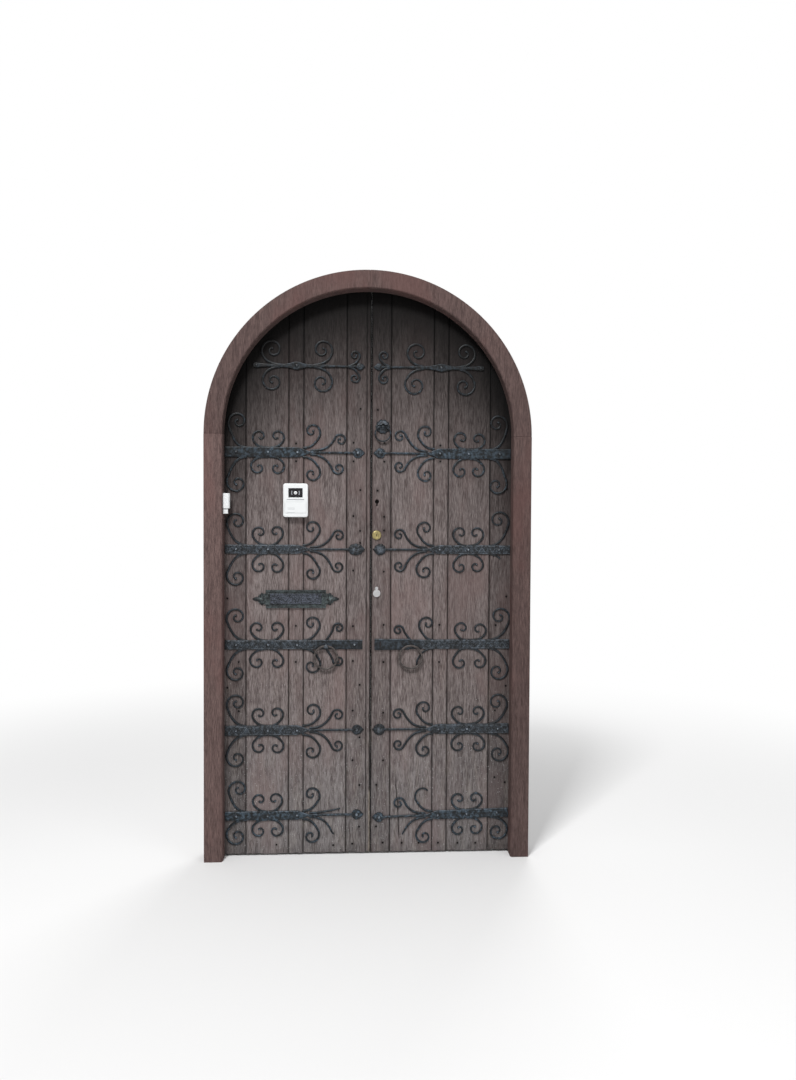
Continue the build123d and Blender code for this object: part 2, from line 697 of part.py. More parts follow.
# Ring pulls hang in their staples

def hanging_ring(x, top_z, y, radius, bar):
    """A forged ring in the plane of the door, its top bar on the line y, top_z."""
    with BuildSketch(facing(y + bar / 2)) as outline:
        with Locations((x, top_z - radius)):
            RegularPolygon(radius + bar / 2, RING_SIDES, major_radius=False, rotation=180 / RING_SIDES)
            RegularPolygon(radius - bar / 2, RING_SIDES, major_radius=False, rotation=180 / RING_SIDES,
                           mode=Mode.SUBTRACT)
    extrude(outline.sketch, amount=bar)
    chamfer(edges().filter_by(Axis.Y, reverse=True), bar * RING_BEVEL)


for name, side in SIDES.items():
    with BuildPart() as ring:
        hanging_ring(side * RING_X, RING_HANG_Z, RING_Y, RING_RADIUS, RING_BAR)
    save(ring, f"{name}_pull_ring")


# Knocker: a lobed rose, a hood over a lug, and a ring through the lug

with BuildPart() as knocker_rose:
    with BuildSketch(facing(FACE_Y)):
        with Locations((KNOCKER_X, KNOCKER_Z)):
            RegularPolygon(KNOCKER_ROSE_RADIUS - KNOCKER_LOBE_RADIUS, KNOCKER_SIDES, major_radius=False)
            with PolarLocations(KNOCKER_ROSE_RADIUS - KNOCKER_LOBE_RADIUS, KNOCKER_LOBES):
                RegularPolygon(KNOCKER_LOBE_RADIUS, KNOCKER_LOBE_SIDES)
    extrude(amount=KNOCKER_ROSE_THICK)
    rose_front = FACE_Y - KNOCKER_ROSE_THICK
    with BuildSketch(facing(rose_front)):
        with Locations((KNOCKER_X, KNOCKER_Z)):
            RegularPolygon(KNOCKER_HOOD_RADIUS, KNOCKER_SIDES)
    extrude(amount=KNOCKER_HOOD_REACH, taper=KNOCKER_HOOD_TAPER)
    hood_low = KNOCKER_HANG_Z + KNOCKER_RING_BAR / 2 + 2 * STAPLE_GAP
    with BuildSketch(facing(rose_front)):
        span(KNOCKER_X - KNOCKER_ROSE_RADIUS, KNOCKER_X + KNOCKER_ROSE_RADIUS,
             KNOCKER_Z - KNOCKER_ROSE_RADIUS, hood_low)
    extrude(amount=KNOCKER_HOOD_REACH, mode=Mode.SUBTRACT)
    eye_lug(KNOCKER_X, KNOCKER_HANG_Z, KNOCKER_RING_Y, KNOCKER_EYE, rose_front, KNOCKER_LUG_WIDTH)
save(knocker_rose, "knocker_rose")

with BuildPart() as knocker_ring:
    hanging_ring(KNOCKER_X, KNOCKER_HANG_Z, KNOCKER_RING_Y, KNOCKER_RING_RADIUS, KNOCKER_RING_BAR)
save(knocker_ring, "knocker_ring")


# Hook and band hinges on the inside

with BuildPart() as hooks:
    for side in SIDES.values():
        for z in HINGE_HEIGHTS:
            eye_low = z - BAND_HEIGHT / 2 - EYE_SEAT_GAP
            with BuildSketch(Plane.XY.offset(eye_low - HOOK_SHOULDER)):
                with Locations((side * PIN_X, PIN_Y)):
                    Circle(HOOK_COLLAR_RADIUS)
                plate_x = side * (FRAME_HALF - HOOK_PLATE_WIDTH / 2)
                span(side * PIN_X, plate_x, PIN_Y - HOOK_SHANK_THICK / 2, PIN_Y + HOOK_SHANK_THICK / 2)
            extrude(amount=HOOK_SHOULDER)
            with BuildSketch(Plane.XY.offset(eye_low)):
                with Locations((side * PIN_X, PIN_Y)):
                    Circle(PIN_RADIUS)
            extrude(amount=BAND_HEIGHT + 2 * EYE_SEAT_GAP + PIN_PROUD)
            with BuildSketch(Plane.XY.offset(eye_low - HOOK_SHOULDER)):
                span(plate_x - HOOK_PLATE_WIDTH / 4, plate_x + HOOK_PLATE_WIDTH / 4, FRAME_BACK_Y, PIN_Y)
            extrude(amount=HOOK_SHOULDER)
            plate_low = eye_low - HOOK_SHOULDER / 2 - HOOK_PLATE_HEIGHT / 2
            with BuildSketch(Plane.XY.offset(plate_low)):
                span(plate_x - HOOK_PLATE_WIDTH / 2, plate_x + HOOK_PLATE_WIDTH / 2,
                     FRAME_BACK_Y, FRAME_BACK_Y + BAND_THICK)
            extrude(amount=HOOK_PLATE_HEIGHT)
save(hooks, "hinge_hooks")

for name, side in SIDES.items():
    with BuildPart() as bands:
        for z, length in zip(HINGE_HEIGHTS, BAND_LENGTHS):
            x1, x2 = side * PIN_X, side * (PIN_X - length)
            tip = BAND_TIP_HEIGHT / 2
            with BuildSketch(facing(BACK_Y + BAND_THICK)):
                polygon([(x1, z + BAND_HEIGHT / 2), (x2, z + tip), (x2 - side * tip, z), (x2, z - tip),
                         (x1, z - BAND_HEIGHT / 2)])
            extrude(amount=BAND_THICK)
            with BuildSketch(facing(BACK_Y + BAND_THICK)):
                with Locations([(x1 - side * step, z) for step in BAND_BOLTS if step < length]):
                    RegularPolygon(BOLT_HEAD_RADIUS, BOLT_HEAD_SIDES)
            extrude(amount=-RIVET_HEIGHT)
            with BuildSketch(Plane.XY.offset(z - BAND_HEIGHT / 2)):
                with Locations((side * PIN_X, PIN_Y)):
                    Circle(EYE_RADIUS)
                span(side * PIN_X, side * (PIN_X - EYE_RADIUS), BACK_Y, PIN_Y)
            extrude(amount=BAND_HEIGHT)
            with BuildSketch(Plane.XY.offset(z - BAND_HEIGHT / 2)):
                with Locations((side * PIN_X, PIN_Y)):
                    Circle(PIN_RADIUS + PIN_RUNNING_GAP)
            extrude(amount=BAND_HEIGHT, mode=Mode.SUBTRACT)
    save(bands, f"{name}_hinge_bands")


# Letter plate: a plate with pointed ends over a slot, and a flap on a pin

FLAP_HINGE_Z = LETTER_Z + FLAP_HEIGHT / 2 - FLAP_PIN_RADIUS
FLAP_LUG_REACH = FLAP_WIDTH / 2 + FLAP_LUG_GAP + FLAP_LUG_WIDTH / 2
FLAP_PIN_Y = FACE_Y - LETTER_THICK - FLAP_PIN_RADIUS - FLAP_PIN_OFF
with BuildPart() as letter_plate:
    half_w, half_h = LETTER_WIDTH / 2, LETTER_HEIGHT / 2
    end = half_w + LETTER_POINT
    with BuildSketch(facing(FACE_Y)):
        with Locations((LETTER_X, LETTER_Z)):
            Rectangle(LETTER_WIDTH, LETTER_HEIGHT)
        for way in (-1, 1):
            upper = [(half_w + out, rise) for out, rise in LETTER_POINT_PROFILE]
            lower = [(x, -z) for x, z in reversed(upper)]
            outline = upper + [(end, 0)] + lower
            polygon([(LETTER_X + way * x, LETTER_Z + z) for x, z in outline])
        with Locations((LETTER_X, LETTER_Z)):
            Rectangle(SLOT_WIDTH, SLOT_HEIGHT, mode=Mode.SUBTRACT)
    extrude(amount=LETTER_THICK)
    with BuildSketch(facing(FACE_Y - LETTER_THICK)):
        for way in (-1, 1):
            with Locations((LETTER_X, LETTER_Z + way * (half_h - LETTER_BEAD / 2))):
                Rectangle(LETTER_WIDTH, LETTER_BEAD)
    extrude(amount=LETTER_BEAD_RISE)
    for way in (-1, 1):
        lug_x = LETTER_X + way * FLAP_LUG_REACH
        wall = FLAP_PIN_RADIUS + FLAP_LUG_WALL
        with BuildSketch(Plane.YZ.offset(lug_x - FLAP_LUG_WIDTH / 2)):
            with Locations((FLAP_PIN_Y, FLAP_HINGE_Z)):
                Circle(wall)
            span(FLAP_PIN_Y, FACE_Y - LETTER_THICK, FLAP_HINGE_Z - wall, FLAP_HINGE_Z + wall)
            with Locations((FLAP_PIN_Y, FLAP_HINGE_Z)):
                Circle(FLAP_PIN_RADIUS + PIN_RUNNING_GAP, mode=Mode.SUBTRACT)
        extrude(amount=FLAP_LUG_WIDTH)
save(letter_plate, "letter_plate")

with BuildPart() as letter_flap:
    pin_half = FLAP_LUG_REACH + FLAP_LUG_WIDTH / 2
    with BuildSketch(Plane.YZ.offset(LETTER_X - pin_half)):
        with Locations((FLAP_PIN_Y, FLAP_HINGE_Z)):
            Circle(FLAP_PIN_RADIUS)
    extrude(amount=2 * pin_half)
    flap_low = FLAP_HINGE_Z - FLAP_HEIGHT + 2 * FLAP_PIN_RADIUS
    with BuildSketch(facing(FACE_Y - LETTER_THICK - FLAP_SEAT_GAP)):
        span(LETTER_X - FLAP_WIDTH / 2, LETTER_X + FLAP_WIDTH / 2, flap_low, FLAP_HINGE_Z)
    extrude(amount=FLAP_THICK)
save(letter_flap, "letter_flap")


# Door station: a rounded case with a window and a wide press button

with BuildPart() as station_case:
    with BuildSketch(facing(FACE_Y)):
        with Locations((STATION_X, STATION_Z)):
            RectangleRounded(STATION_WIDTH, STATION_HEIGHT, STATION_CORNER)
    extrude(amount=STATION_THICK)
    chamfer(faces().sort_by(Axis.Y)[0].edges(), STATION_ARRIS)
    station_front = FACE_Y - STATION_THICK
    with BuildSketch(facing(station_front)):
        with Locations((STATION_X, STATION_Z + WINDOW_RISE)):
            Rectangle(WINDOW_WIDTH, WINDOW_HEIGHT)
    extrude(amount=-WINDOW_DEPTH, mode=Mode.SUBTRACT)
    with BuildSketch(facing(station_front)):
        with Locations((STATION_X, STATION_Z - BUTTON_DROP)):
            Rectangle(BUTTON_WIDTH + 2 * BUTTON_GAP, BUTTON_HEIGHT + 2 * BUTTON_GAP)
    extrude(amount=-(BUTTON_THICK - BUTTON_PROUD + BUTTON_TRAVEL + BUTTON_GAP), mode=Mode.SUBTRACT)
save(station_case, "station_case")

with BuildPart() as station_button:
    with BuildSketch(facing(station_front + BUTTON_THICK - BUTTON_PROUD)):
        with Locations((STATION_X, STATION_Z - BUTTON_DROP)):
            Rectangle(BUTTON_WIDTH, BUTTON_HEIGHT)
    extrude(amount=BUTTON_THICK)
    chamfer(faces().sort_by(Axis.Y)[0].edges(), BUTTON_PROUD)
save(station_button, "station_button")


# Door contact on the left reveal: a rounded cover over a narrower foot

with BuildPart() as contact:
    contact_y = (FRONT_Y + STOP_Y) / 2
    top = CONTACT_Z + CONTACT_HEIGHT / 2
    low = CONTACT_Z - CONTACT_HEIGHT / 2
    nose_x = CONTACT_REACH - CONTACT_DEPTH / 2 - CLEAR_HALF
    with BuildSketch(Plane.XY.offset(low + CONTACT_FOOT)):
        span(-CLEAR_HALF, nose_x, contact_y - CONTACT_DEPTH / 2, contact_y + CONTACT_DEPTH / 2)
        with Locations((nose_x, contact_y)):
            Circle(CONTACT_DEPTH / 2)
    extrude(amount=CONTACT_HEIGHT - CONTACT_FOOT)
    with BuildSketch(Plane.XY.offset(low)):
        span(-CLEAR_HALF, -CLEAR_HALF + CONTACT_REACH - CONTACT_FOOT_INSET,
             contact_y - CONTACT_FOOT_WIDTH / 2, contact_y + CONTACT_FOOT_WIDTH / 2)
    extrude(amount=CONTACT_FOOT)
save(contact, "reveal_contact")


# Rim latch: cylinder and plug outside, case, bolt and knob inside

with BuildPart() as cylinder:
    with BuildSketch(facing(FACE_Y)):
        with Locations((LATCH_X, LATCH_Z)):
            Circle(CYLINDER_RIM_RADIUS)
    extrude(amount=CYLINDER_RIM_THICK)
    chamfer(faces().sort_by(Axis.Y)[0].edges(), CYLINDER_RIM_BEVEL)
    with BuildSketch(facing(BACK_Y)):
        with Locations((LATCH_X, LATCH_Z)):
            Circle(CYLINDER_BODY_RADIUS)
    extrude(amount=LEAF_THICK)
    with BuildSketch(facing(BACK_Y)):
        with Locations((LATCH_X, LATCH_Z)):
            Circle(PLUG_RADIUS + PLUG_RUNNING_GAP)
    extrude(amount=LEAF_THICK + CYLINDER_RIM_THICK, mode=Mode.SUBTRACT)
save(cylinder, "latch_cylinder")

with BuildPart() as plug:
    with BuildSketch(facing(BACK_Y)):
        with Locations((LATCH_X, LATCH_Z)):
            Circle(PLUG_RADIUS)
    extrude(amount=LEAF_THICK + CYLINDER_RIM_THICK - PLUG_INSET)
    with BuildSketch(facing(FACE_Y - CYLINDER_RIM_THICK + PLUG_INSET)):
        with Locations((LATCH_X, LATCH_Z)):
            Rectangle(KEYWAY_WIDTH, KEYWAY_HEIGHT)
    extrude(amount=-KEYWAY_DEPTH, mode=Mode.SUBTRACT)
save(plug, "latch_plug")

case_x1 = RIGHT_INNER_X + CASE_EDGE_GAP
case_x2 = case_x1 + CASE_WIDTH
bolt_y = BACK_Y + CASE_DEPTH / 2
with BuildPart() as latch_case:
    with BuildSketch(facing(BACK_Y + CASE_DEPTH)):
        span(case_x1, case_x2, LATCH_Z - CASE_HEIGHT / 2, LATCH_Z + CASE_HEIGHT / 2)
    extrude(amount=CASE_DEPTH)
    chamfer(faces().sort_by(Axis.Y)[-1].edges(), CASE_ARRIS)
    with BuildSketch(Plane.YZ.offset(case_x1)):
        with Locations((bolt_y, LATCH_Z)):
            Rectangle(LATCH_BOLT_THICK + 2 * LATCH_BOLT_GAP, LATCH_BOLT_HEIGHT + 2 * LATCH_BOLT_GAP)
    extrude(amount=LATCH_BOLT_LENGTH + LATCH_BOLT_GAP, mode=Mode.SUBTRACT)
save(latch_case, "latch_case")

with BuildPart() as latch_bolt:
    with BuildSketch(Plane.YZ.offset(case_x1)):
        with Locations((bolt_y, LATCH_Z)):
            Rectangle(LATCH_BOLT_THICK, LATCH_BOLT_HEIGHT)
    extrude(amount=LATCH_BOLT_LENGTH)
save(latch_bolt, "latch_bolt")

knob_x = case_x2 - KNOB_RADIUS - KNOB_EDGE
with BuildPart() as latch_knob:
    case_back = BACK_Y + CASE_DEPTH
    with BuildSketch(facing(case_back + KNOB_REACH / 2)):
        with Locations((knob_x, LATCH_Z)):
            Circle(KNOB_NECK_RADIUS)
    extrude(amount=KNOB_REACH / 2 - EYE_SEAT_GAP)
    with BuildSketch(facing(case_back + KNOB_REACH)):
        with Locations((knob_x, LATCH_Z)):
            Circle(KNOB_RADIUS)
    extrude(amount=KNOB_REACH / 2)
    chamfer(faces().sort_by(Axis.Y)[-1].edges(), KNOB_BEVEL)
save(latch_knob, "latch_knob")

with BuildPart() as latch_keep:
    keep_x2 = LEFT_INNER_X - KEEP_SETBACK
    pocket_x1 = case_x1 - LATCH_BOLT_THROW - KEEP_BEYOND
    with BuildSketch(facing(BACK_Y + CASE_DEPTH)):
        span(pocket_x1 - KEEP_WALL, keep_x2, LATCH_Z - KEEP_HEIGHT / 2, LATCH_Z + KEEP_HEIGHT / 2)
    extrude(amount=CASE_DEPTH)
    with BuildSketch(Plane.YZ.offset(keep_x2)):
        with Locations((bolt_y, LATCH_Z)):
            Rectangle(CASE_DEPTH - 2 * KEEP_WALL, KEEP_HEIGHT - 2 * KEEP_WALL)
    extrude(amount=pocket_x1 - keep_x2, mode=Mode.SUBTRACT)
save(latch_keep, "latch_keep")


# Drop escutcheon: a back plate with a pin, and a cover that hangs on it

with BuildPart() as escutcheon:
    with BuildSketch(facing(FACE_Y)):
        with Locations((COVER_PIN_X, COVER_PIN_Z)):
            Circle(COVER_PIN_RADIUS + COVER_PLATE_RIM)
        with Locations((COVER_PIN_X, COVER_PIN_Z - COVER_DROP / 4)):
            Rectangle(2 * (COVER_PIN_RADIUS - COVER_OVERHANG), COVER_DROP / 2)
        with Locations((COVER_PIN_X, COVER_PIN_Z - COVER_DROP)):
            Circle(COVER_RADIUS - COVER_OVERHANG)
            Rectangle(KEY_SLOT_WIDTH, KEY_SLOT_HEIGHT, mode=Mode.SUBTRACT)
    extrude(amount=COVER_PLATE_THICK)
    with BuildSketch(facing(FACE_Y)):
        with Locations((COVER_PIN_X, COVER_PIN_Z)):
            Circle(COVER_SHAFT_RADIUS)
    extrude(amount=COVER_PLATE_THICK + COVER_THICK + 2 * EYE_SEAT_GAP)
    with BuildSketch(facing(FACE_Y - COVER_PLATE_THICK - COVER_THICK - 2 * EYE_SEAT_GAP)):
        with Locations((COVER_PIN_X, COVER_PIN_Z)):
            Circle(COVER_PIN_RADIUS)
    extrude(amount=COVER_HEAD_THICK)
save(escutcheon, "escutcheon")

with BuildPart() as cover:
    with BuildSketch(facing(FACE_Y - COVER_PLATE_THICK - EYE_SEAT_GAP)):
        with Locations((COVER_PIN_X, COVER_PIN_Z)):
            Circle(COVER_PIN_RADIUS)
        with Locations((COVER_PIN_X, COVER_PIN_Z - COVER_DROP)):
            Circle(COVER_RADIUS)
        with Locations((COVER_PIN_X, COVER_PIN_Z - COVER_DROP / 4)):
            Rectangle(2 * COVER_PIN_RADIUS, COVER_DROP / 2)
        with Locations((COVER_PIN_X, COVER_PIN_Z)):
            Circle(COVER_SHAFT_RADIUS + PIN_RUNNING_GAP, mode=Mode.SUBTRACT)
    extrude(amount=COVER_THICK)
save(cover, "escutcheon_cover")


# Tower bolts on the inside of the left leaf

ROD_Y = BACK_Y + ROD_SETBACK
LEAF_TOP_AT_ROD = SPRING_HEIGHT + sqrt(LEAF_HALF ** 2 - TOWER_X ** 2)
TOP_ROD_TIP = LEAF_TOP_AT_ROD - ROD_TOP_GAP
TOWER_SETS = {
    "top": (TOP_ROD_TIP, TOP_ROD_TIP - TOP_ROD_LENGTH, TOP_ROD_THROW),
    "foot": (FOOT_ROD_REST_Z + FOOT_ROD_LENGTH, FOOT_ROD_REST_Z, FOOT_ROD_THROW),
}


def rod_staple(low):
    """A bored staple on the leaf that a rod slides through, in the current part."""
    half = TOWER_STAPLE_WIDTH / 2
    with BuildSketch(Plane.XY.offset(low)) as outline:
        span(TOWER_X - half, TOWER_X + half, BACK_Y, ROD_Y + ROD_RADIUS + TOWER_STAPLE_WALL)
        with Locations((TOWER_X, ROD_Y)):
            Circle(ROD_RADIUS + ROD_GAP, mode=Mode.SUBTRACT)
    extrude(outline.sketch, amount=TOWER_STAPLE_HEIGHT)


with BuildPart() as tower_plates:
    for high, low, throw in TOWER_SETS.values():
        plate_low, plate_high = low + PLATE_ABOVE_FOOT, high - PLATE_BELOW_TIP
        with BuildSketch(facing(BACK_Y + TOWER_PLATE_THICK)):
            span(TOWER_X - TOWER_PLATE_WIDTH / 2, TOWER_X + TOWER_PLATE_WIDTH / 2, plate_low, plate_high)
        extrude(amount=TOWER_PLATE_THICK)
        for staple_low in (plate_low + STAPLE_INSET, plate_high - STAPLE_INSET - TOWER_STAPLE_HEIGHT):
            rod_staple(staple_low)
save(tower_plates, "tower_bolt_plates")

throws = [throw for high, low, throw in TOWER_SETS.values()]
for name, (high, low, throw) in TOWER_SETS.items():
    with BuildPart() as rod:
        with BuildSketch(Plane.XY.offset(low)):
            with Locations((TOWER_X, ROD_Y)):
                Circle(ROD_RADIUS)
        extrude(amount=high - low)
        handle_z = low + PLATE_ABOVE_FOOT + STAPLE_INSET + TOWER_STAPLE_HEIGHT + max(throws) + HANDLE_RISE
        with BuildSketch(facing(ROD_Y + ROD_HANDLE_LENGTH)):
            with Locations((TOWER_X, handle_z)):
                Circle(ROD_HANDLE_RADIUS)
        extrude(amount=ROD_HANDLE_LENGTH)
    save(rod, f"{name}_bolt_rod")

with BuildPart() as bolt_keep:
    keep_low = SPRING_HEIGHT + REBATE_HALF + BOLT_KEEP_RISE
    half = ROD_RADIUS + BOLT_KEEP_GAP
    with BuildSketch(Plane.XY.offset(keep_low)):
        span(TOWER_X - half - TOWER_STAPLE_WALL, TOWER_X + half + TOWER_STAPLE_WALL,
             FRAME_BACK_Y, ROD_Y + half + TOWER_STAPLE_WALL)
    extrude(amount=TOWER_STAPLE_HEIGHT)
    with BuildSketch(Plane.XY.offset(keep_low)):
        span(TOWER_X - half, TOWER_X + half, FRAME_BACK_Y, ROD_Y + half)
    extrude(amount=TOWER_STAPLE_HEIGHT, mode=Mode.SUBTRACT)
save(bolt_keep, "top_bolt_keep")
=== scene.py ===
"""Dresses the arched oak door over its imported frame: weathered planks, forged strap ironwork and fittings.

Lengths are in millimetres while a piece is worked out and become metres when it is placed. X runs to the
right seen from outside, Y inwards through the doorway and Z up. The origin is on the floor under the middle.
"""
import json
import logging
import math
from dataclasses import dataclass, field
from enum import Enum
from typing import Callable, Iterable

import bmesh
import bpy
import numpy as np
from mathutils import Matrix, Vector

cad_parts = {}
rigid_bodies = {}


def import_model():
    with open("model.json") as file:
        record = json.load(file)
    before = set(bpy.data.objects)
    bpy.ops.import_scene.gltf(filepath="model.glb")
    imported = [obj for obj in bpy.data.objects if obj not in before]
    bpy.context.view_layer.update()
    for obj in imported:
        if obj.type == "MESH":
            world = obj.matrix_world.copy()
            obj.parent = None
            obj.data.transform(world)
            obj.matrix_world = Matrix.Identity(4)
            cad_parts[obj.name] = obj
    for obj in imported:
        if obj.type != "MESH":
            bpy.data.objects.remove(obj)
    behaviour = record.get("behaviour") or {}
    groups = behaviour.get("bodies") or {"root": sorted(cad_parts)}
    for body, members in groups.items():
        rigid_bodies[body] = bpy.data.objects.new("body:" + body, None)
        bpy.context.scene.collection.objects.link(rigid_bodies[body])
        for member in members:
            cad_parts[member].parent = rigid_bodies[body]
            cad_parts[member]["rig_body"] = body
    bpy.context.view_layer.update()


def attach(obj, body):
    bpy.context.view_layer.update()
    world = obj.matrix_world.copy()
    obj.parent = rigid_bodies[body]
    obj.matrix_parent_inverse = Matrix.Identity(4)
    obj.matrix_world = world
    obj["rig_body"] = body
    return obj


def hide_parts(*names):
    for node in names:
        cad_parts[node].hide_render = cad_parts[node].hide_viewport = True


LOG = logging.getLogger("arched_door")
MM = 0.001

# Sizes shared with the solids
SPRING = 1764.0
LEAF_RADIUS = 611.0
LEAF_FOOT = 8.0
FACE_Y = -24.0
MEMBER_Y = -4.0
IRON_THICK = 6.0
STRAP_END = 598.0
STRAP_REACH = 580.0
SEAMS = (93.0, 272.0, 334.0, 511.0)
RING_X = 178.0
RING_LINE_Y = -36.353
RING_HANG_Z = 886.0
LETTER_X, LETTER_Z = -303.6, 1083.0
LETTER_SLOT = (190.0, 34.0)
CYLINDER_X, CYLINDER_Z = 33.0, 1352.0
CYLINDER_BORE = 14.6
KEY_SLOT_X, KEY_SLOT_Z = 34.0, 1107.0
KEY_SLOT = (5.0, 12.0)
OLD_KEYHOLE_X, OLD_KEYHOLE_Z = 34.0, 1492.0

# The meeting edges, set closer than the solids' so that no light shows between the leaves
INNER_EDGES = {"left": 9.45, "right": 9.55}
SIDES = {"left": -1, "right": 1}

Array = np.ndarray


class Slot(Enum):
    """The record's material slots."""

    LEAF_OAK = "leaf_oak"
    FRAME_OAK = "frame_oak"
    BLACK_IRON = "black_iron"
    BRASS = "brass"
    LACQUERED_STEEL = "lacquered_steel"
    CHROME = "chrome"
    WHITE_PLASTIC = "white_plastic"


class Grain(Enum):
    """The way that the grain of a timber runs, as the stretch of its pattern along X, Y and Z."""

    UPRIGHT = (1.0, 1.0, 0.09)
    ACROSS = (0.09, 1.0, 1.0)


# Surfaces


def ripple(x: Array, y: Array, cell: float, seed: int) -> Array:
    """Smooth noise from -1 to 1: seeded heights on a square lattice, joined by 3t² - 2t³ both ways.

    Args:
        x, y: places, as arrays of one shape.
        cell: the lattice's spacing.
        seed: the number that the heights follow from.

    Returns:
        The noise at each place.
    """
    table = np.random.default_rng(seed).uniform(-1, 1, (64, 64))
    x, y = np.broadcast_arrays(np.asarray(x, float) / cell, np.asarray(y, float) / cell)
    i, j = np.floor(x).astype(int), np.floor(y).astype(int)
    f, g = x - i, y - j
    f, g = f * f * (3 - 2 * f), g * g * (3 - 2 * g)
    low = table[i % 64, j % 64] * (1 - f) + table[(i + 1) % 64, j % 64] * f
    high = table[i % 64, (j + 1) % 64] * (1 - f) + table[(i + 1) % 64, (j + 1) % 64] * f
    return low * (1 - g) + high * g


def ease(value: Array, low: float, high: float) -> Array:
    """A smooth step: 0 up to low, 1 from high on, and 3t² - 2t³ between."""
    t = np.clip((np.asarray(value, float) - low) / (high - low), 0, 1)
    return t * t * (3 - 2 * t)


@dataclass(frozen=True)
class Place:
    """A spot on an upright face: u runs along it, v up it and w out of it, turned by tilt degrees."""

    x: float
    z: float
    y: float
    way: int = 1
    tilt: float = 0.0

    def world(self, u: Array, v: Array, w: Array) -> Array:
        """Set points out from the spot: (u, v) turned by the tilt and added to x and z, and w taken off y.

        Args:
            u, v: places along the face and up it.
            w: how far out of the face each point stands.

        Returns:
            The points in metres, with x, y and z last.
        """
        c, s = math.cos(math.radians(self.tilt)), math.sin(math.radians(self.tilt))
        along = self.way * np.asarray(u, float)
        x = self.x + along * c - v * s
        z = self.z + along * s + v * c
        return np.stack(np.broadcast_arrays(x, self.y - np.asarray(w, float), z), axis=-1) * MM


@dataclass
class Skin:
    """Gathers gridded surfaces into one mesh, with marks on its points, such as how bare it is from rubbing
    and from painted light.
    """

    points: list[Array] = field(default_factory=list)
    quads: list[Array] = field(default_factory=list)
    caps: list[list[int]] = field(default_factory=list)
    worn_and_painted_light: list[Array] = field(default_factory=list)
    spots: list[Array] = field(default_factory=list)
    total: int = 0

    def grid(self, surface: Array, ring: bool = True, loop: bool = False, caps: str = "both",
             worn_and_painted_light: Array | float = 0.0, spot: Array | None = None) -> None:
        """Add a surface given as rows of points.

        Args:
            surface: points of shape (rows, columns, 3), in metres.
            ring: each row closes on itself.
            loop: the last row joins the first.
            caps: which end rows are closed by a face: both, first or none.
            worn_and_painted_light: how bare each point is, from rubbing and from painted light, from -1,
                where the paint is kept black, to 1, where it is bare.
            spot: u and v of each point in metres, for a pattern that follows the piece.
        """
        rows, columns = surface.shape[:2]
        index = np.arange(rows * columns).reshape(rows, columns) + self.total
        wide = np.concatenate([index, index[:, :1]], axis=1) if ring else index
        wide = np.concatenate([wide, wide[:1]], axis=0) if loop else wide
        corners = (wide[:-1, :-1], wide[:-1, 1:], wide[1:, 1:], wide[1:, :-1])
        self.quads.append(np.stack(corners, axis=-1).reshape(-1, 4))
        if caps != "none":
            self.caps.append(index[0].tolist())
        if caps == "both":
            self.caps.append(index[-1].tolist())
        self.points.append(surface.reshape(-1, 3))
        self.worn_and_painted_light.append(np.broadcast_to(worn_and_painted_light, (rows, columns)).ravel())
        self.spots.append(np.zeros((rows * columns, 2)) if spot is None else spot.reshape(-1, 2))
        self.total += rows * columns

    def finish(self, name: str, finish: bpy.types.Material, angle: float = 40.0) -> bpy.types.Object:
        """Make the object, with its doubles merged and its faces outwards.

        Args:
            name: the piece's name.
            finish: its material.
            angle: edges up to this many degrees are shaded smooth.

        Returns:
            The piece.
        """
        mesh = bpy.data.meshes.new(name)
        mesh.from_pydata(np.concatenate(self.points).tolist(), [],
                         np.concatenate(self.quads).tolist() + self.caps)
        mesh.attributes.new("worn_and_painted_light", "FLOAT", "POINT").data.foreach_set("value", np.concatenate(self.worn_and_painted_light))
        loops = np.zeros(len(mesh.loops), int)
        mesh.loops.foreach_get("vertex_index", loops)
        layer = mesh.uv_layers.new(name="spot")
        layer.data.foreach_set("uv", np.concatenate(self.spots)[loops].ravel())
        tidy(mesh, 1e-6)
        return show(mesh, name, finish, angle)


def tidy(mesh: bpy.types.Mesh, distance: float, flat: float | None = None) -> None:
    """Merge doubles and turn the faces outwards.

    Args:
        mesh: the mesh to work on.
        distance: points closer than this, in metres, become one.
        flat: faces that meet within this angle, in radians, are joined, if it is given.
    """
    work = bmesh.new()
    work.from_mesh(mesh)
    bmesh.ops.remove_doubles(work, verts=work.verts, dist=distance)
    if flat is not None:
        bmesh.ops.dissolve_limit(work, angle_limit=flat, verts=work.verts, edges=work.edges)
    bmesh.ops.recalc_face_normals(work, faces=work.faces)
    work.to_mesh(mesh)
    work.free()


def show(mesh: bpy.types.Mesh, name: str, finish: bpy.types.Material, angle: float) -> bpy.types.Object:
    """Link an object for a mesh.

    Args:
        mesh: its mesh.
        name: its name.
        finish: its material.
        angle: edges up to this many degrees are shaded smooth.

    Returns:
        The object.
    """
    piece = bpy.data.objects.new(name, mesh)
    bpy.context.scene.collection.objects.link(piece)
    mesh.shade_smooth()
    mesh.set_sharp_from_angle(angle=math.radians(angle))
    mesh.materials.clear()
    mesh.materials.append(finish)
    return piece


def mark(piece: bpy.types.Object, name: str, values: Callable[[Array, Array], Array]) -> None:
    """Give every point a mark.

    Args:
        piece: the piece to mark.
        name: the mark's name.
        values: the mark as a function of x and z in millimetres.
    """
    mesh = piece.data
    places = np.zeros(len(mesh.vertices) * 3)
    mesh.vertices.foreach_get("co", places)
    x, z = places[0::3] / MM, places[2::3] / MM
    found = mesh.attributes.get(name) or mesh.attributes.new(name, "FLOAT", "POINT")
    found.data.foreach_set("value", np.broadcast_to(values(x, z), x.shape).astype(float).copy())


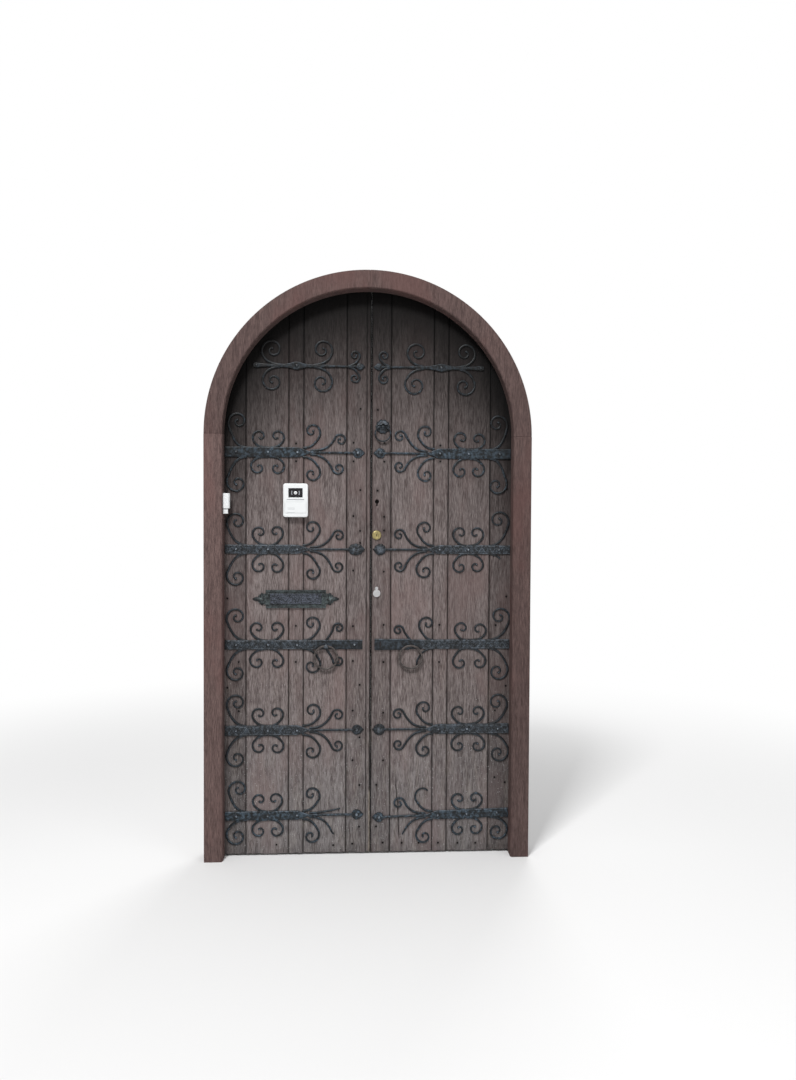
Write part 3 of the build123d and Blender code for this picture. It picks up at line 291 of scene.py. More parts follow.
def hang(piece: bpy.types.Object, body: str, nodes: Iterable[str] = ()) -> None:
    """Let a finished piece ride a body and report it.

    Args:
        piece: the piece.
        body: the body that it moves with.
        nodes: the solids that it stands for.
    """
    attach(piece, body)
    if nodes:
        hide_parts(*nodes)
    LOG.info("%s: %d faces on %s", piece.name, len(piece.data.polygons), body)


def pierce(piece: bpy.types.Object, cutter: Skin) -> None:
    """Cut prisms out of a piece and keep the result as its mesh.

    Args:
        piece: the piece to cut.
        cutter: the prisms.
    """
    tool = cutter.finish("cutter", piece.data.materials[0])
    cut = piece.modifiers.new("cut", "BOOLEAN")
    cut.operation, cut.solver, cut.object = "DIFFERENCE", "EXACT", tool
    graph = bpy.context.evaluated_depsgraph_get()
    mesh = bpy.data.meshes.new_from_object(piece.evaluated_get(graph), depsgraph=graph)
    piece.modifiers.remove(cut)
    piece.data = mesh
    bpy.data.objects.remove(tool)


# Shader arithmetic


class Term:
    """A socket in a material, with arithmetic that adds Math nodes."""

    def __init__(self, graph: "Graph", socket: bpy.types.NodeSocket) -> None:
        """Hold the socket and the graph that it is in."""
        self.graph = graph
        self.socket = socket

    def __add__(self, other: "Term | float") -> "Term":
        """This plus the other."""
        return self.graph.math("ADD", self, other)

    def __sub__(self, other: "Term | float") -> "Term":
        """This less the other."""
        return self.graph.math("SUBTRACT", self, other)

    def __rsub__(self, other: float) -> "Term":
        """The other less this."""
        return self.graph.math("SUBTRACT", other, self)

    def __mul__(self, other: "Term | float") -> "Term":
        """This times the other."""
        return self.graph.math("MULTIPLY", self, other)

    def __truediv__(self, other: "Term | float") -> "Term":
        """This over the other."""
        return self.graph.math("DIVIDE", self, other)

    __radd__ = __add__
    __rmul__ = __mul__


class Graph:
    """The node tree of one material, with its Principled shader at hand."""

    def __init__(self, name: str) -> None:
        """Start a material.

        Args:
            name: the material's name.
        """
        self.material = bpy.data.materials.new(name)
        self.material.use_nodes = True
        self.tree = self.material.node_tree
        self.shader = next(n for n in self.tree.nodes if n.type == "BSDF_PRINCIPLED")
        self.place = Term(self, self.tree.nodes.new("ShaderNodeTexCoord").outputs["Object"])

    def node(self, kind: str, settings: dict[str, object], inputs: dict[object, object],
             output: int | str = 0) -> Term:
        """Add any node.

        Args:
            kind: the node's type.
            settings: its properties, set first.
            inputs: values or terms for its sockets, by name or number.
            output: the socket to return.

        Returns:
            The output as a term.
        """
        node = self.tree.nodes.new(kind)
        for key, value in settings.items():
            setattr(node, key, value)
        for key, value in inputs.items():
            self.feed(node.inputs[key], value)
        return Term(self, node.outputs[output])

    def feed(self, socket: bpy.types.NodeSocket, value: object) -> None:
        """Link a term to a socket, or set the socket's own value.

        Args:
            socket: the socket to feed.
            value: the term or the value.
        """
        if isinstance(value, Term):
            self.tree.links.new(value.socket, socket)
        else:
            socket.default_value = value

    def math(self, operation: str, *values: "Term | float") -> Term:
        """One Math node."""
        return self.node("ShaderNodeMath", {"operation": operation}, dict(enumerate(values)))

    def parts(self, vector: Term) -> tuple[Term, Term, Term]:
        """Split a vector.

        Args:
            vector: the vector's term.

        Returns:
            Its three numbers.
        """
        node = self.tree.nodes.new("ShaderNodeSeparateXYZ")
        self.feed(node.inputs[0], vector)
        return Term(self, node.outputs[0]), Term(self, node.outputs[1]), Term(self, node.outputs[2])

    def stretched(self, factors: tuple[float, float, float]) -> Term:
        """The object's coordinates times three factors."""
        return self.node("ShaderNodeMapping", {}, {"Vector": self.place, "Scale": factors})

    def noise(self, vector: Term, scale: float, detail: float = 3.0, rough: float = 0.55) -> Term:
        """Noise from 0 to 1."""
        return self.node("ShaderNodeTexNoise", {}, {"Vector": vector, "Scale": scale, "Detail": detail,
                                                    "Roughness": rough})

    def step(self, value: Term, low: float, high: float) -> Term:
        """A smooth step from 0 at low to 1 at high."""
        return self.node("ShaderNodeMapRange", {"interpolation_type": "SMOOTHSTEP"},
                         {"Value": value, "From Min": low, "From Max": high})

    def mix(self, share: "Term | float", first: object, second: object, blend: str = "MIX") -> Term:
        """A mix of two colours."""
        return self.node("ShaderNodeMix", {"data_type": "RGBA", "blend_type": blend},
                         {0: share, 6: first, 7: second}, 2)

    def shade(self, colour: Term, level: Term) -> Term:
        """A colour times a level."""
        grey = self.node("ShaderNodeCombineXYZ", {}, {0: level, 1: level, 2: level})
        return self.mix(1.0, colour, grey, "MULTIPLY")

    def attribute(self, name: str) -> Term:
        """A mark of the piece's points."""
        return self.node("ShaderNodeAttribute", {"attribute_name": name}, {}, "Fac")

    def arch_shade(self, painted_shade_level: float) -> Term:
        """How light a spot is under the arch: a smooth step over 0.82 m of depth below its edge.

        The depth is √(R² - x²) + springing - z.

        Args:
            painted_shade_level: the painted level at the edge.

        Returns:
            The level, 1 from 0.82 m down.
        """
        x, _, z = self.parts(self.place)
        reach = self.math("MAXIMUM", (LEAF_RADIUS * MM) ** 2 - x * x, 0.0)
        depth = self.math("SQRT", reach) + SPRING * MM - z
        return painted_shade_level + (1 - painted_shade_level) * self.step(depth, 0.0, 0.82)

    def bump(self, height: Term, strength: float, distance: float) -> None:
        """Raise the surface by a height.

        Args:
            height: the height's term, from 0 to 1.
            strength: how strong the effect is.
            distance: how far the surface rises at 1, in metres.
        """
        normal = self.node("ShaderNodeBump", {}, {"Height": height, "Strength": strength,
                                                  "Distance": distance})
        self.feed(self.shader.inputs["Normal"], normal)

    def set(self, **inputs: object) -> None:
        """Feed the shader's sockets, with _ for a space in a name."""
        for key, value in inputs.items():
            self.feed(self.shader.inputs[key.replace("_", " ")], value)


Colour = tuple[float, float, float, float]


def tint(red: float, green: float, blue: float) -> Colour:
    """An opaque colour, linear."""
    return (red, green, blue, 1.0)


# Finishes


@dataclass(frozen=True)
class OakFinish:
    """Stained oak, worn by the elements: streaks along the grain, open pores, and painted shade towards the
    arch.
    """

    name: str
    grain: Grain
    dark: Colour
    light: Colour
    red: Colour
    weathered_and_shaded: bool = True
    # The level of the painted shade at the arch's edge
    painted_shade_level: float = 0.015
    silver: Colour = tint(1.06, 1.19, 1.23)
    bare: Colour = tint(0.42, 0.36, 0.30)
    grit: Colour = tint(0.5, 0.5, 0.5)

    def build(self) -> bpy.types.Material:
        """Streaks along the grain mix dark and light, patches turn red, and pores darken it.

        Returns:
            The material.
        """
        g = Graph(self.name)
        wander = g.noise(g.stretched((1.0, 1.0, 0.35)), 9.0, 2.0)
        warped = g.node("ShaderNodeVectorMath", {"operation": "MULTIPLY_ADD"},
                        {0: wander, 1: (0.035, 0.0, 0.0), 2: g.stretched(self.grain.value)})
        fine = g.noise(warped, 330.0, 4.0, 0.65)
        streak = g.noise(warped, 110.0, 5.0, 0.65)
        cloud = g.noise(g.stretched((1.0, 1.0, 0.4)), 6.0, 4.0)
        pores = g.step(g.noise(warped, 900.0, 1.0), 0.60, 0.72)
        lift = g.step(streak * 0.38 + fine * 0.62, 0.36, 0.65)
        colour = g.mix(lift, self.dark, self.light)
        colour = g.mix(g.step(cloud, 0.46, 0.70) * 0.6, colour, self.red)
        level = (0.86 + cloud * 0.28) * (1 - pores * 0.3) * (1 + g.attribute("tone"))
        colour = self.weather_and_shade(g, colour, level, fine) if self.weathered_and_shaded else g.shade(colour, level)
        g.set(Base_Color=colour, Roughness=0.62 + fine * 0.25, Specular_IOR_Level=0.12)
        g.bump(fine * 0.5 + streak * 0.6 - pores * 0.5, 0.55, 0.0012)
        return g.material

    def weather_and_shade(self, g: Graph, colour: Term, level: Term, fine: Term) -> Term:
        """Painted shade under the arch, in the joints and under the rings; silver towards the foot, stains,
        bare spots and grit.

        Args:
            g: the material's nodes.
            colour: the stained wood.
            level: how light it is.
            fine: the fine grain, which breaks up the bare spots.

        Returns:
            The weathered colour.
        """
        z = g.parts(g.place)[2]
        # Painted shade under the arch; from 1.15 m up the wood also darkens, by 12% from 1.5 m up
        level = level * g.arch_shade(self.painted_shade_level) * (1 - g.step(z, 1.15, 1.5) * 0.12)
        # The seam mark is painted shade in the joints; the stain mark holds real stains and a painted shadow
        # under each ring
        level = level * (1 - g.attribute("seam") * 0.85) * (1 - g.attribute("stain") * 0.6)
        silvered = g.mix(1.0, colour, self.silver, "MULTIPLY")
        colour = g.shade(g.mix(g.step(z, 0.80, 0.05) * 0.8, colour, silvered), level)
        colour = g.mix(g.attribute("worn") * g.step(fine, 0.3, 0.6), colour, self.bare)
        specks = g.step(g.noise(g.place, 230.0, 1.0), 0.72, 0.76) * g.step(z, 1.0, 0.35)
        return g.mix(specks * 0.8, colour, self.grit)


@dataclass(frozen=True)
class IronFinish:
    """Forged iron under old black paint, with a blue-green bloom and bare edges, partly worn and partly
    painted highlight, and with painted shade under the arch.
    """

    name: str
    black: Colour = tint(0.006, 0.007, 0.008)
    bloom: Colour = tint(0.040, 0.056, 0.074)
    bare: Colour = tint(0.23, 0.26, 0.30)
    speckle: Colour = tint(0.080, 0.090, 0.130)
    engraved: bool = False
    speckled: bool = False
    gloss: float = 0.3
    # The level of the painted shade at the arch's edge
    painted_shade_level: float = 0.12
    period: float = 0.030
    swing: float = 0.0115
    border: float = 0.0155
    engraved_to: float = 0.385

    def build(self) -> bpy.types.Material:
        """Mottling mixes black and bloom; the worn_and_painted_light mark bares the edges, or keeps them
        black below 0.

        Returns:
            The material.
        """
        g = Graph(self.name)
        mottle = g.noise(g.place, 75.0, 6.0, 0.72)
        pits = g.noise(g.place, 260.0, 2.0)
        worn_and_painted_light = g.attribute("worn_and_painted_light")
        kept = g.math("MAXIMUM", 1 + g.math("MINIMUM", worn_and_painted_light, 0.0), 0.0)
        colour = g.mix(g.step(mottle, 0.42, 0.68) * kept, self.black, self.bloom)
        if self.speckled:
            colour = g.mix(g.step(pits, 0.50, 0.62) * 0.7, colour, self.speckle)
        bare = g.math("MAXIMUM", worn_and_painted_light, 0.0) * g.step(mottle + pits * 0.5, 0.55, 0.95)
        height = mottle * 0.6 + pits * 0.4
        if self.engraved:
            cut, chased = self.engraving(g, pits)
            bare = g.math("MAXIMUM", bare, cut * g.step(mottle, 0.40, 0.60) * 0.6)
            bare = g.math("MAXIMUM", bare, chased * 0.26)
            height = height - cut * 0.9 + chased * 0.5
        # Painted shade under the arch darkens the iron too
        colour = g.shade(g.mix(bare * 0.8, colour, self.bare), g.arch_shade(self.painted_shade_level))
        g.set(Base_Color=colour, Roughness=0.36 + mottle * 0.28, Specular_IOR_Level=self.gloss)
        g.bump(height, 0.7, 0.0014)
        return g.material

    def engraving(self, g: Graph, pits: Term) -> tuple[Term, Term]:
        """A zigzag between two border lines, on a chased ground, along the strap's own u and v.

        The zigzag is v = swing · (4 · |fraction(u / period) - 1/2| - 1).

        Args:
            g: the material's nodes.
            pits: the noise that the chasing follows.

        Returns:
            How much is cut by the lines and by the chasing, each from 0 to 1.
        """
        u, v, _ = g.parts(g.node("ShaderNodeUVMap", {"uv_map": "spot"}, {}))
        from_middle = g.math("ABSOLUTE", v)
        wave = g.math("ABSOLUTE", g.math("FRACT", u / self.period) - 0.5) * 4.0 - 1.0
        zigzag = 1 - g.step(g.math("ABSOLUTE", v - wave * self.swing), 0.0006, 0.0020)
        lines = 1 - g.step(g.math("ABSOLUTE", from_middle - self.border), 0.0005, 0.0016)
        on_bar = g.step(u, self.engraved_to, self.engraved_to - 0.015) * g.step(u, 0.0, 0.004)
        cut = g.math("MAXIMUM", zigzag, lines) * on_bar
        chased = g.step(pits, 0.54, 0.62) * g.step(from_middle, self.border - 0.002, self.border - 0.003)
        return cut, chased * on_bar


@dataclass(frozen=True)
class SmoothFinish:
    """A smooth finish whose gloss varies a little, as from handling."""

    name: str
    colour: Colour
    metallic: float = 0.0
    rough: float = 0.3
    spread: float = 0.1
    stain: Colour | None = None
    gloss: float = 0.5

    def build(self) -> bpy.types.Material:
        """Noise moves the roughness, and dulls the colour towards the stain where there is one.

        Returns:
            The material.
        """
        g = Graph(self.name)
        cloud = g.noise(g.place, 60.0, 4.0)
        colour: object = self.colour
        if self.stain is not None:
            colour = g.mix(g.step(cloud, 0.42, 0.68) * 0.75, self.colour, self.stain)
        g.set(Base_Color=colour, Metallic=self.metallic, Roughness=self.rough + cloud * self.spread,
              Specular_IOR_Level=self.gloss)
        return g.material


# The dark, the light and the red of each timber
LEAF_TINTS = (tint(0.070, 0.053, 0.051), tint(0.230, 0.195, 0.189), tint(0.150, 0.104, 0.099))
FRAME_TINTS = (tint(0.052, 0.034, 0.032), tint(0.120, 0.080, 0.074), tint(0.095, 0.050, 0.046))


class Finishes:
    """Every finish on the door, each built once."""

    def __init__(self) -> None:
        """Build them."""
        self.plank = OakFinish("weathered_plank_oak", Grain.UPRIGHT, *LEAF_TINTS).build()
        self.rail = OakFinish("inner_rail_oak", Grain.ACROSS, *LEAF_TINTS, weathered_and_shaded=False).build()
        self.stile = OakFinish("inner_stile_oak", Grain.UPRIGHT, *LEAF_TINTS, weathered_and_shaded=False).build()
        self.jamb = OakFinish("frame_oak", Grain.UPRIGHT, *FRAME_TINTS, weathered_and_shaded=False).build()
        self.iron = IronFinish("forged_iron").build()
        self.blued = IronFinish("blued_iron", bloom=tint(0.058, 0.088, 0.118)).build()
        self.engraved = IronFinish("engraved_iron", bloom=tint(0.030, 0.041, 0.054), engraved=True).build()
        self.plate = IronFinish("plate_iron", bloom=tint(0.018, 0.028, 0.031),
                                bare=tint(0.26, 0.31, 0.31)).build()
        self.flap = IronFinish("flap_iron", bloom=tint(0.014, 0.016, 0.030), speckled=True).build()
        self.rubbed = IronFinish("rubbed_iron", black=tint(0.040, 0.033, 0.031),
                                 bloom=tint(0.110, 0.094, 0.088), bare=tint(0.36, 0.32, 0.30)).build()
        self.brass = SmoothFinish("worn_brass", tint(0.56, 0.47, 0.22), metallic=1.0, spread=0.2,
                                  stain=tint(0.30, 0.26, 0.12)).build()
        self.chrome = SmoothFinish("chrome", tint(0.96, 0.96, 0.97), metallic=1.0, rough=0.16,
                                   spread=0.15).build()
        self.steel = SmoothFinish("lacquered_steel", tint(0.055, 0.045, 0.038), metallic=0.4, rough=0.35,
                                  spread=0.15).build()
        self.plastic = SmoothFinish("white_plastic", tint(0.70, 0.715, 0.72), rough=0.32).build()
        self.glass = SmoothFinish("dark_window", tint(0.012, 0.012, 0.014), rough=0.10, spread=0.06).build()
        self.grey = SmoothFinish("window_print", tint(0.26, 0.27, 0.29), rough=0.4).build()
        self.nail = SmoothFinish("nail_head", tint(0.006, 0.005, 0.005), rough=0.6, gloss=0.1).build()


# Leaves

# Nail heads on the planks: x of a row of nails and their heights
NAILS = (
    (-65, (1738, 1660, 1431, 1202, 968, 821, 611, 400, 44)),
    (-36, (1879, 1540, 1369, 1319, 720, 497, 294, 116)),
    (64, (1738, 1660, 1429, 1371, 1198, 973, 816, 601, 398, 46)),
    (36, (1876, 1538, 294, 116)),
    (-304, (1732, 1658, 970, 818)),
    (300, (1730, 1663, 973, 815, 42)),
    (-588, (1085, 711)), (-541, (819, 612)), (540, (971, 607, 320)), (585, (1548, 1093, 712, 298)),
    (-383, (45,)), (-145, (39,)), (145, (44,)), (217, (43,)), (383, (40,)), (460, (39,)),
)
# The middles of the pull rings, below which a painted shadow lies on the planks
RING_SHADOW_CENTRES = ((-180, 838), (175, 838))


@dataclass
class Leaf:
    """One leaf: its planks, and the stiles and rails behind them."""

    name: str
    finishes: Finishes
    tones_and_shade: tuple[float, ...]
    arris: float = 3.0
    step: float = 5.0
    row: float = 10.0
    bead: float = 19.0
    bevel: float = 2.05
    quirk: float = 3.0
    split_depth: float = 5.0
    split_at: tuple[float, float] = (127.0, 188.0)
    split_lean: float = 0.067

    @property
    def side(self) -> int:
        """-1 for the left leaf and 1 for the right one."""
        return SIDES[self.name]

    @property
    def edge(self) -> float:
        """X of the meeting edge."""
        return INNER_EDGES[self.name]

    @property
    def joints(self) -> list[float]:
        """X of the planks' edges, from the meeting edge outwards."""
        return [self.edge] + [self.side * seam for seam in SEAMS] + [self.side * LEAF_RADIUS]

    def columns(self, low: float, high: float, extra: Iterable[float]) -> Array:
        """X of a plank's columns: evenly spaced, and close together at its arrises and at the extra places.

        Args:
            low, high: X of the plank's edges.
            extra: more places, of which those inside the arrises are used.

        Returns:
            The places in rising order.
        """
        run = np.linspace(low + self.arris, high - self.arris, max(4, round((high - low) / self.step)))
        near = np.array([0.0, 1.2, 2.2])
        spots = [x for x in extra if low + self.arris < x < high - self.arris]
        return np.unique(np.concatenate([low + near, run, high - near, np.array(spots, float)]))

    def relief(self, x: Array, z: Array, low: float, high: float, seed: int) -> Array:
        """How far a plank's face stands out: grain and cupping, less its arrises, the quirk or the split.

        An arris takes off arris + waver - distance from the edge, where that is above 0.

        Args:
            x, z: places on the face.
            low, high: X of the plank's edges.
            seed: the number that its grain follows from.

        Returns:
            The height at each place.
        """
        out = ripple(x, z / 14, 9, seed) * 0.22 + ripple(x, z / 7, 32, seed + 1) * 0.35
        waver = ripple(z, x * 0, 60, seed + 2) * 0.5
        out -= np.clip(self.arris + waver - np.minimum(x - low, high - x), 0, None)
        if self.name == "left":
            return out - self.quirk * (np.abs(x - (self.edge - self.bead)) < 1.3)
        return out - self.split_depth * self.split(x, z, 1.5)

    def split(self, x: Array, z: Array, width: float) -> Array:
        """How deep in the right leaf's split a place lies: exp(-(distance / width)²), faded at both ends.

        Args:
            x, z: places on the face.
            width: half the width of the split, about.

        Returns:
            The depth at each place, from 0 to 1.
        """
        x_at, z_at = self.split_at
        line = x_at - (z - z_at) * self.split_lean + ripple(z, z * 0, 22, 5) * 1.3
        return np.exp(-((x - line) / width) ** 2) * ease(z, 50, 90) * ease(z, 345, 300)

    def plank(self, number: int) -> None:
        """One plank: the arch's height over each column, the foot ragged, and the relief off the face.

        A point's height is foot + t · (top - foot), with the top on the arch's circle about the springing.

        Args:
            number: which plank, from 0 at the meeting edge.
        """
        low, high = sorted(self.joints[number:number + 2])
        if self.name == "left":
            extra = self.edge - self.bead + np.array([-1.4, -1.2, 1.2, 1.4])
        else:
            extra = np.arange(114, 142, 1.6)
        x = self.columns(low, high, extra if number < 2 else ())
        top = SPRING + np.sqrt(np.clip(LEAF_RADIUS ** 2 - x ** 2, 0, None))
        foot = LEAF_FOOT + 4.0 * np.clip(ripple(x, x * 0, 13, 31 + number) + 0.1, 0, None)
        t = np.linspace(0, 1, round((SPRING + LEAF_RADIUS) / self.row))[:, None]
        z = foot + t * (top - foot)
        wide = np.broadcast_to(x, z.shape)
        seed = 100 * number + (7 if self.side > 0 else 57)
        front = np.stack([wide, FACE_Y - self.relief(wide, z, low, high, seed), z], axis=-1)
        behind = self.side * np.maximum(self.side * wide, self.side * self.edge + self.bevel)
        back = np.stack([behind, np.full_like(z, MEMBER_Y), z], axis=-1)[:, ::-1]
        skin = Skin()
        skin.grid(np.concatenate([front, back], axis=1) * MM)
        piece = skin.finish(f"{self.name}_oak_plank_{number + 1}", self.finishes.plank, 30)
        holes = self.holes(number)
        if holes.total:
            pierce(piece, holes)
        # Each plank's tone, with painted shade on the outermost plank of each leaf
        mark(piece, "tone", lambda a, b: np.full_like(a, self.tones_and_shade[number]))
        mark(piece, "stain", self.stain)
        mark(piece, "worn", self.worn)
        # The seam mark: painted shade in the joints
        mark(piece, "seam", self.seam)
        hang(piece, f"{self.name}_leaf", [f"{self.name}_board_{number + 1}"])

    def holes(self, number: int) -> Skin:
        """What is cut through one plank: the letter slot, or the keyholes and the cylinder's bore.

        Args:
            number: which plank, from 0 at the meeting edge.

        Returns:
            The prisms to cut, if any.
        """
        skin = Skin()
        if self.name == "left" and number in (1, 2, 3):
            prism(skin, rectangle(LETTER_X, LETTER_Z, *LETTER_SLOT))
        if self.name == "right" and number == 0:
            prism(skin, keyhole(OLD_KEYHOLE_X, OLD_KEYHOLE_Z, 8.6, 6.4, 18.5))
            prism(skin, circle(CYLINDER_X, CYLINDER_Z, CYLINDER_BORE))
            prism(skin, rectangle(KEY_SLOT_X, KEY_SLOT_Z, *KEY_SLOT))
        return skin

    def stain(self, x: Array, z: Array) -> Array:
        """Dark stains, a spot and a run under each nail and the foot, and a painted shadow below each ring.

        A spot is exp(-(distance / 9)²), a run exp(-|drop - 25| / 22), and both fade sideways over 7 mm.

        Args:
            x, z: places on the face.

        Returns:
            The stain and painted shadow at each place, from 0 to 1.
        """
        total = np.zeros_like(x)
        for nail_x, heights in NAILS:
            near = np.exp(-((x - nail_x) / 7) ** 2)
            for height in heights:
                drop = height - z
                run = 0.4 * np.exp(-np.abs(drop - 25) / 22) * (drop > 0)
                total += near * (np.exp(-(drop / 9) ** 2) + run)
        # Painted shadow of each ring: an arc of its size, 12 mm lower, over its lower part
        for ring_x, ring_z in RING_SHADOW_CENTRES:
            away = np.hypot(x - ring_x, z - ring_z + 12)
            total += 0.7 * np.exp(-((away - 50) / 9) ** 2) * (z < ring_z + 20)
        foot = ease(z, 60, 10) * 0.5
        return np.clip(total * 0.8 + foot * (0.5 + 0.5 * ripple(x, z, 35, 77)), 0, 1)

    def seam(self, x: Array, z: Array) -> Array:
        """Painted shade in the joints, the quirk and the split, falling off straight away from each line.

        Args:
            x, z: places on the face.

        Returns:
            The painted shade at each place, from 0 to 1.12 at the meeting edge.
        """
        near = [np.clip(1.25 - np.abs(x - line) / 3.2, 0, 1) for line in self.joints]
        near.append(np.clip(1.6 - np.abs(x - self.edge) / 5.5, 0, 1.12))
        if self.name == "left":
            near.append(np.clip(1.4 - np.abs(x - self.edge + self.bead) / 1.6, 0, 0.85))
        else:
            near.append(0.9 * self.split(x, z, 2.0))
        return np.max(near, axis=0)

    def worn(self, x: Array, z: Array) -> Array:
        """Bare pale wood: the left leaf's meeting edge near its foot, and patches that fade with height.

        Args:
            x, z: places on the face.

        Returns:
            How bare each place is, from 0 to 1.
        """
        edge = np.clip(1 - np.abs(x - INNER_EDGES["left"]) / 9, 0, 1) * ease(z, 285, 255) * (x < 8)
        patches = 0.12 * np.clip(ripple(x, z / 5, 14, 9), 0, 1)
        return np.clip(edge + patches * ease(z, 1200, 200), 0, 1)

    def build(self) -> None:
        """Build the planks and the nails, and dress the stiles and rails behind them."""
        for number in range(len(SEAMS) + 1):
            self.plank(number)
        self.nails()
        for member in ("hanging_stile", "meeting_stile", "head_rail"):
            eased(f"{self.name}_{member}", self.finishes.stile, 1.5)
        for member in ("lock_rail", "bottom_rail"):
            eased(f"{self.name}_{member}", self.finishes.rail, 1.5)

    def nails(self) -> None:
        """A low dome for each nail head on this leaf."""
        skin = Skin()
        for x, heights in NAILS:
            if x * self.side > 0:
                for z in heights:
                    relief(skin, Place(x, z, FACE_Y + 0.4), circular(4.3), 0.7, 0.4, around=12)
        heads = skin.finish(f"{self.name}_nail_heads", self.finishes.nail)
        hang(heads, f"{self.name}_leaf")


# Shapes


def rectangle(x: float, z: float, width: float, height: float) -> Array:
    """The corners of a rectangle about x, z."""
    a, b = width / 2, height / 2
    return np.array([(x - a, z - b), (x + a, z - b), (x + a, z + b), (x - a, z + b)])


def circle(x: float, z: float, radius: float, sides: int = 32) -> Array:
    """Points at equal angles round x, z."""
    angle = np.linspace(0, 2 * np.pi, sides, endpoint=False)
    return np.stack([x + radius * np.cos(angle), z + radius * np.sin(angle)], axis=-1)


def keyhole(x: float, z: float, radius: float, width: float, drop: float) -> Array:
    """A round eye over a slot: the arc from one side of the slot round to the other, then the slot's foot.

    Args:
        x, z: the eye's middle.
        radius: the eye's radius.
        width: the slot's width.
        drop: from the eye's middle down to the slot's foot.

    Returns:
        The outline's points in order.
    """
    half = math.asin(width / 2 / radius)
    angle = np.linspace(half - np.pi / 2, 1.5 * np.pi - half, 30)
    arc = np.stack([x + radius * np.cos(angle), z + radius * np.sin(angle)], axis=-1)
    return np.concatenate([arc, np.array([(x - width / 2, z - drop), (x + width / 2, z - drop)])])


def prism(skin: Skin, outline: Array, front: float = FACE_Y - 12, back: float = MEMBER_Y + 8) -> None:
    """An outline carried straight from one depth to another.

    Args:
        skin: the mesh to add to.
        outline: its points in x and z.
        front, back: Y of its two ends.
    """
    x, z = outline.T
    rows = [np.stack([x, np.full_like(x, y), z], axis=-1) for y in (front, back)]
    skin.grid(np.stack(rows) * MM)


def circular(radius: float) -> Callable[[Array], Array]:
    """The outline of a disc, as a radius for each angle."""
    return lambda angle: np.full_like(angle, radius)


def turned(angle: Array) -> Array:
    """How far each angle is from straight ahead, from 0 to pi."""
    return np.abs((angle + np.pi) % (2 * np.pi) - np.pi)


def point(angle: Array, length: float, spread: float, power: float = 1.3) -> Array:
    """What a point ahead adds to an outline's radius: length · exp(-(turn / spread)^power)."""
    return length * np.exp(-(turned(angle) / spread) ** power)


# A boss's rings: their share of its outline, of its rim's height, and how bare they are: a bright crown,
# partly worn and partly painted highlight, and a rim kept black as painted shade
BOSS_SHARES = np.array([1.0, 1.0, 0.96, 0.88, 0.74, 0.58, 0.42, 0.26, 0.12, 0.0])[:, None]
BOSS_BEVEL = np.array([0.0, 0.55, 0.85, 1.0, 1.0, 1.0, 1.0, 1.0, 1.0, 1.0])[:, None]
BOSS_WEAR_AND_LIGHT = np.array([-1.6, -1.2, -0.6, -0.3, 0.0, 0.2, 0.5, 0.9, 1.0, 1.0])[:, None]


def relief(skin: Skin, place: Place, radius: Callable[[Array], Array], thick: float, crown: float,
           u: float = 0.0, v: float = 0.0, base: float = 0.0, around: int = 40,
           texture: Callable[[Array, Array], Array] | None = None, polish: float = 0.6) -> None:
    """A forged boss: rings at shares s of an outline R(angle), thick · bevel(s) + crown · (1 - s²) high.

    Args:
        skin: the mesh to add to.
        place: where it sits.
        radius: R as a function of the angle in radians.
        thick, crown: the height of the rim and of the middle above it.
        u, v, base: the middle, and how far off the face the boss starts.
        around: the number of points in a ring.
        texture: an added height as a function of share and angle.
        polish: how strongly the crown is bared, by rubbing and as painted highlight, and the rim kept black
            as painted shade.
    """
    angle = np.linspace(0, 2 * np.pi, around, endpoint=False)[None, :]
    reach = radius(angle) * BOSS_SHARES
    height = thick * BOSS_BEVEL + crown * (1 - BOSS_SHARES ** 2) * (BOSS_BEVEL > 0)
    if texture is not None:
        height = height + texture(BOSS_SHARES, angle) * (BOSS_BEVEL >= 0.85)
    surface = place.world(u + reach * np.cos(angle), v + reach * np.sin(angle), base + height)
    skin.grid(surface, caps="first", worn_and_painted_light=BOSS_WEAR_AND_LIGHT * polish)


# A scroll's section, in shares of its width and its thickness, and how bare it is round it: a painted
# highlight along one top edge, and painted shade that keeps its feet black
SECTION = np.array([(-0.5, 0.0), (-0.5, 0.5), (-0.36, 0.86), (0.0, 1.0), (0.36, 0.86), (0.5, 0.5),
                    (0.5, 0.0)])
SECTION_WEAR_AND_LIGHT = np.array([-1.0, -0.9, -0.4, -0.5, 0.3, -0.4, -1.0])


def sweep(skin: Skin, place: Place, path: Array, width: Array, thick: Array) -> None:
    """A forged bar along a path: the rounded section set across the path's normal, tapering with it.

    Args:
        skin: the mesh to add to.
        place: the face that it lies on.
        path: points in u and v.
        width, thick: the bar's width and thickness at each of them.
    """
    way = np.gradient(path, axis=0)
    way /= np.linalg.norm(way, axis=1, keepdims=True)
    across = np.stack([-way[:, 1], way[:, 0]], axis=-1)
    spread = width[:, None] * SECTION[None, :, 0]
    u = path[:, None, 0] + across[:, None, 0] * spread
    v = path[:, None, 1] + across[:, None, 1] * spread
    w = thick[:, None] * SECTION[None, :, 1]
    skin.grid(place.world(u, v, w), worn_and_painted_light=np.broadcast_to(SECTION_WEAR_AND_LIGHT, u.shape))


# A flat bar: its bevel's points in from each edge, their share of its height, and how bare it is across it:
# light rubbing on the face, a painted highlight on the upper bevel, and painted shade on the lower bevel and
# feet
BAR_INSET = np.array([0.0, 0.8, 2.0, 3.6])
BAR_BEVEL = np.array([0.5, 0.82, 0.97, 1.0] + [1.0] * 7 + [1.0, 0.97, 0.82, 0.5])
BAR_WEAR_AND_LIGHT = np.array([-1.0, -0.6, 0.1, -0.2] + [0.05] * 7 + [-0.2, 0.5, 0.7, 0.3, -1.0, -1.0])


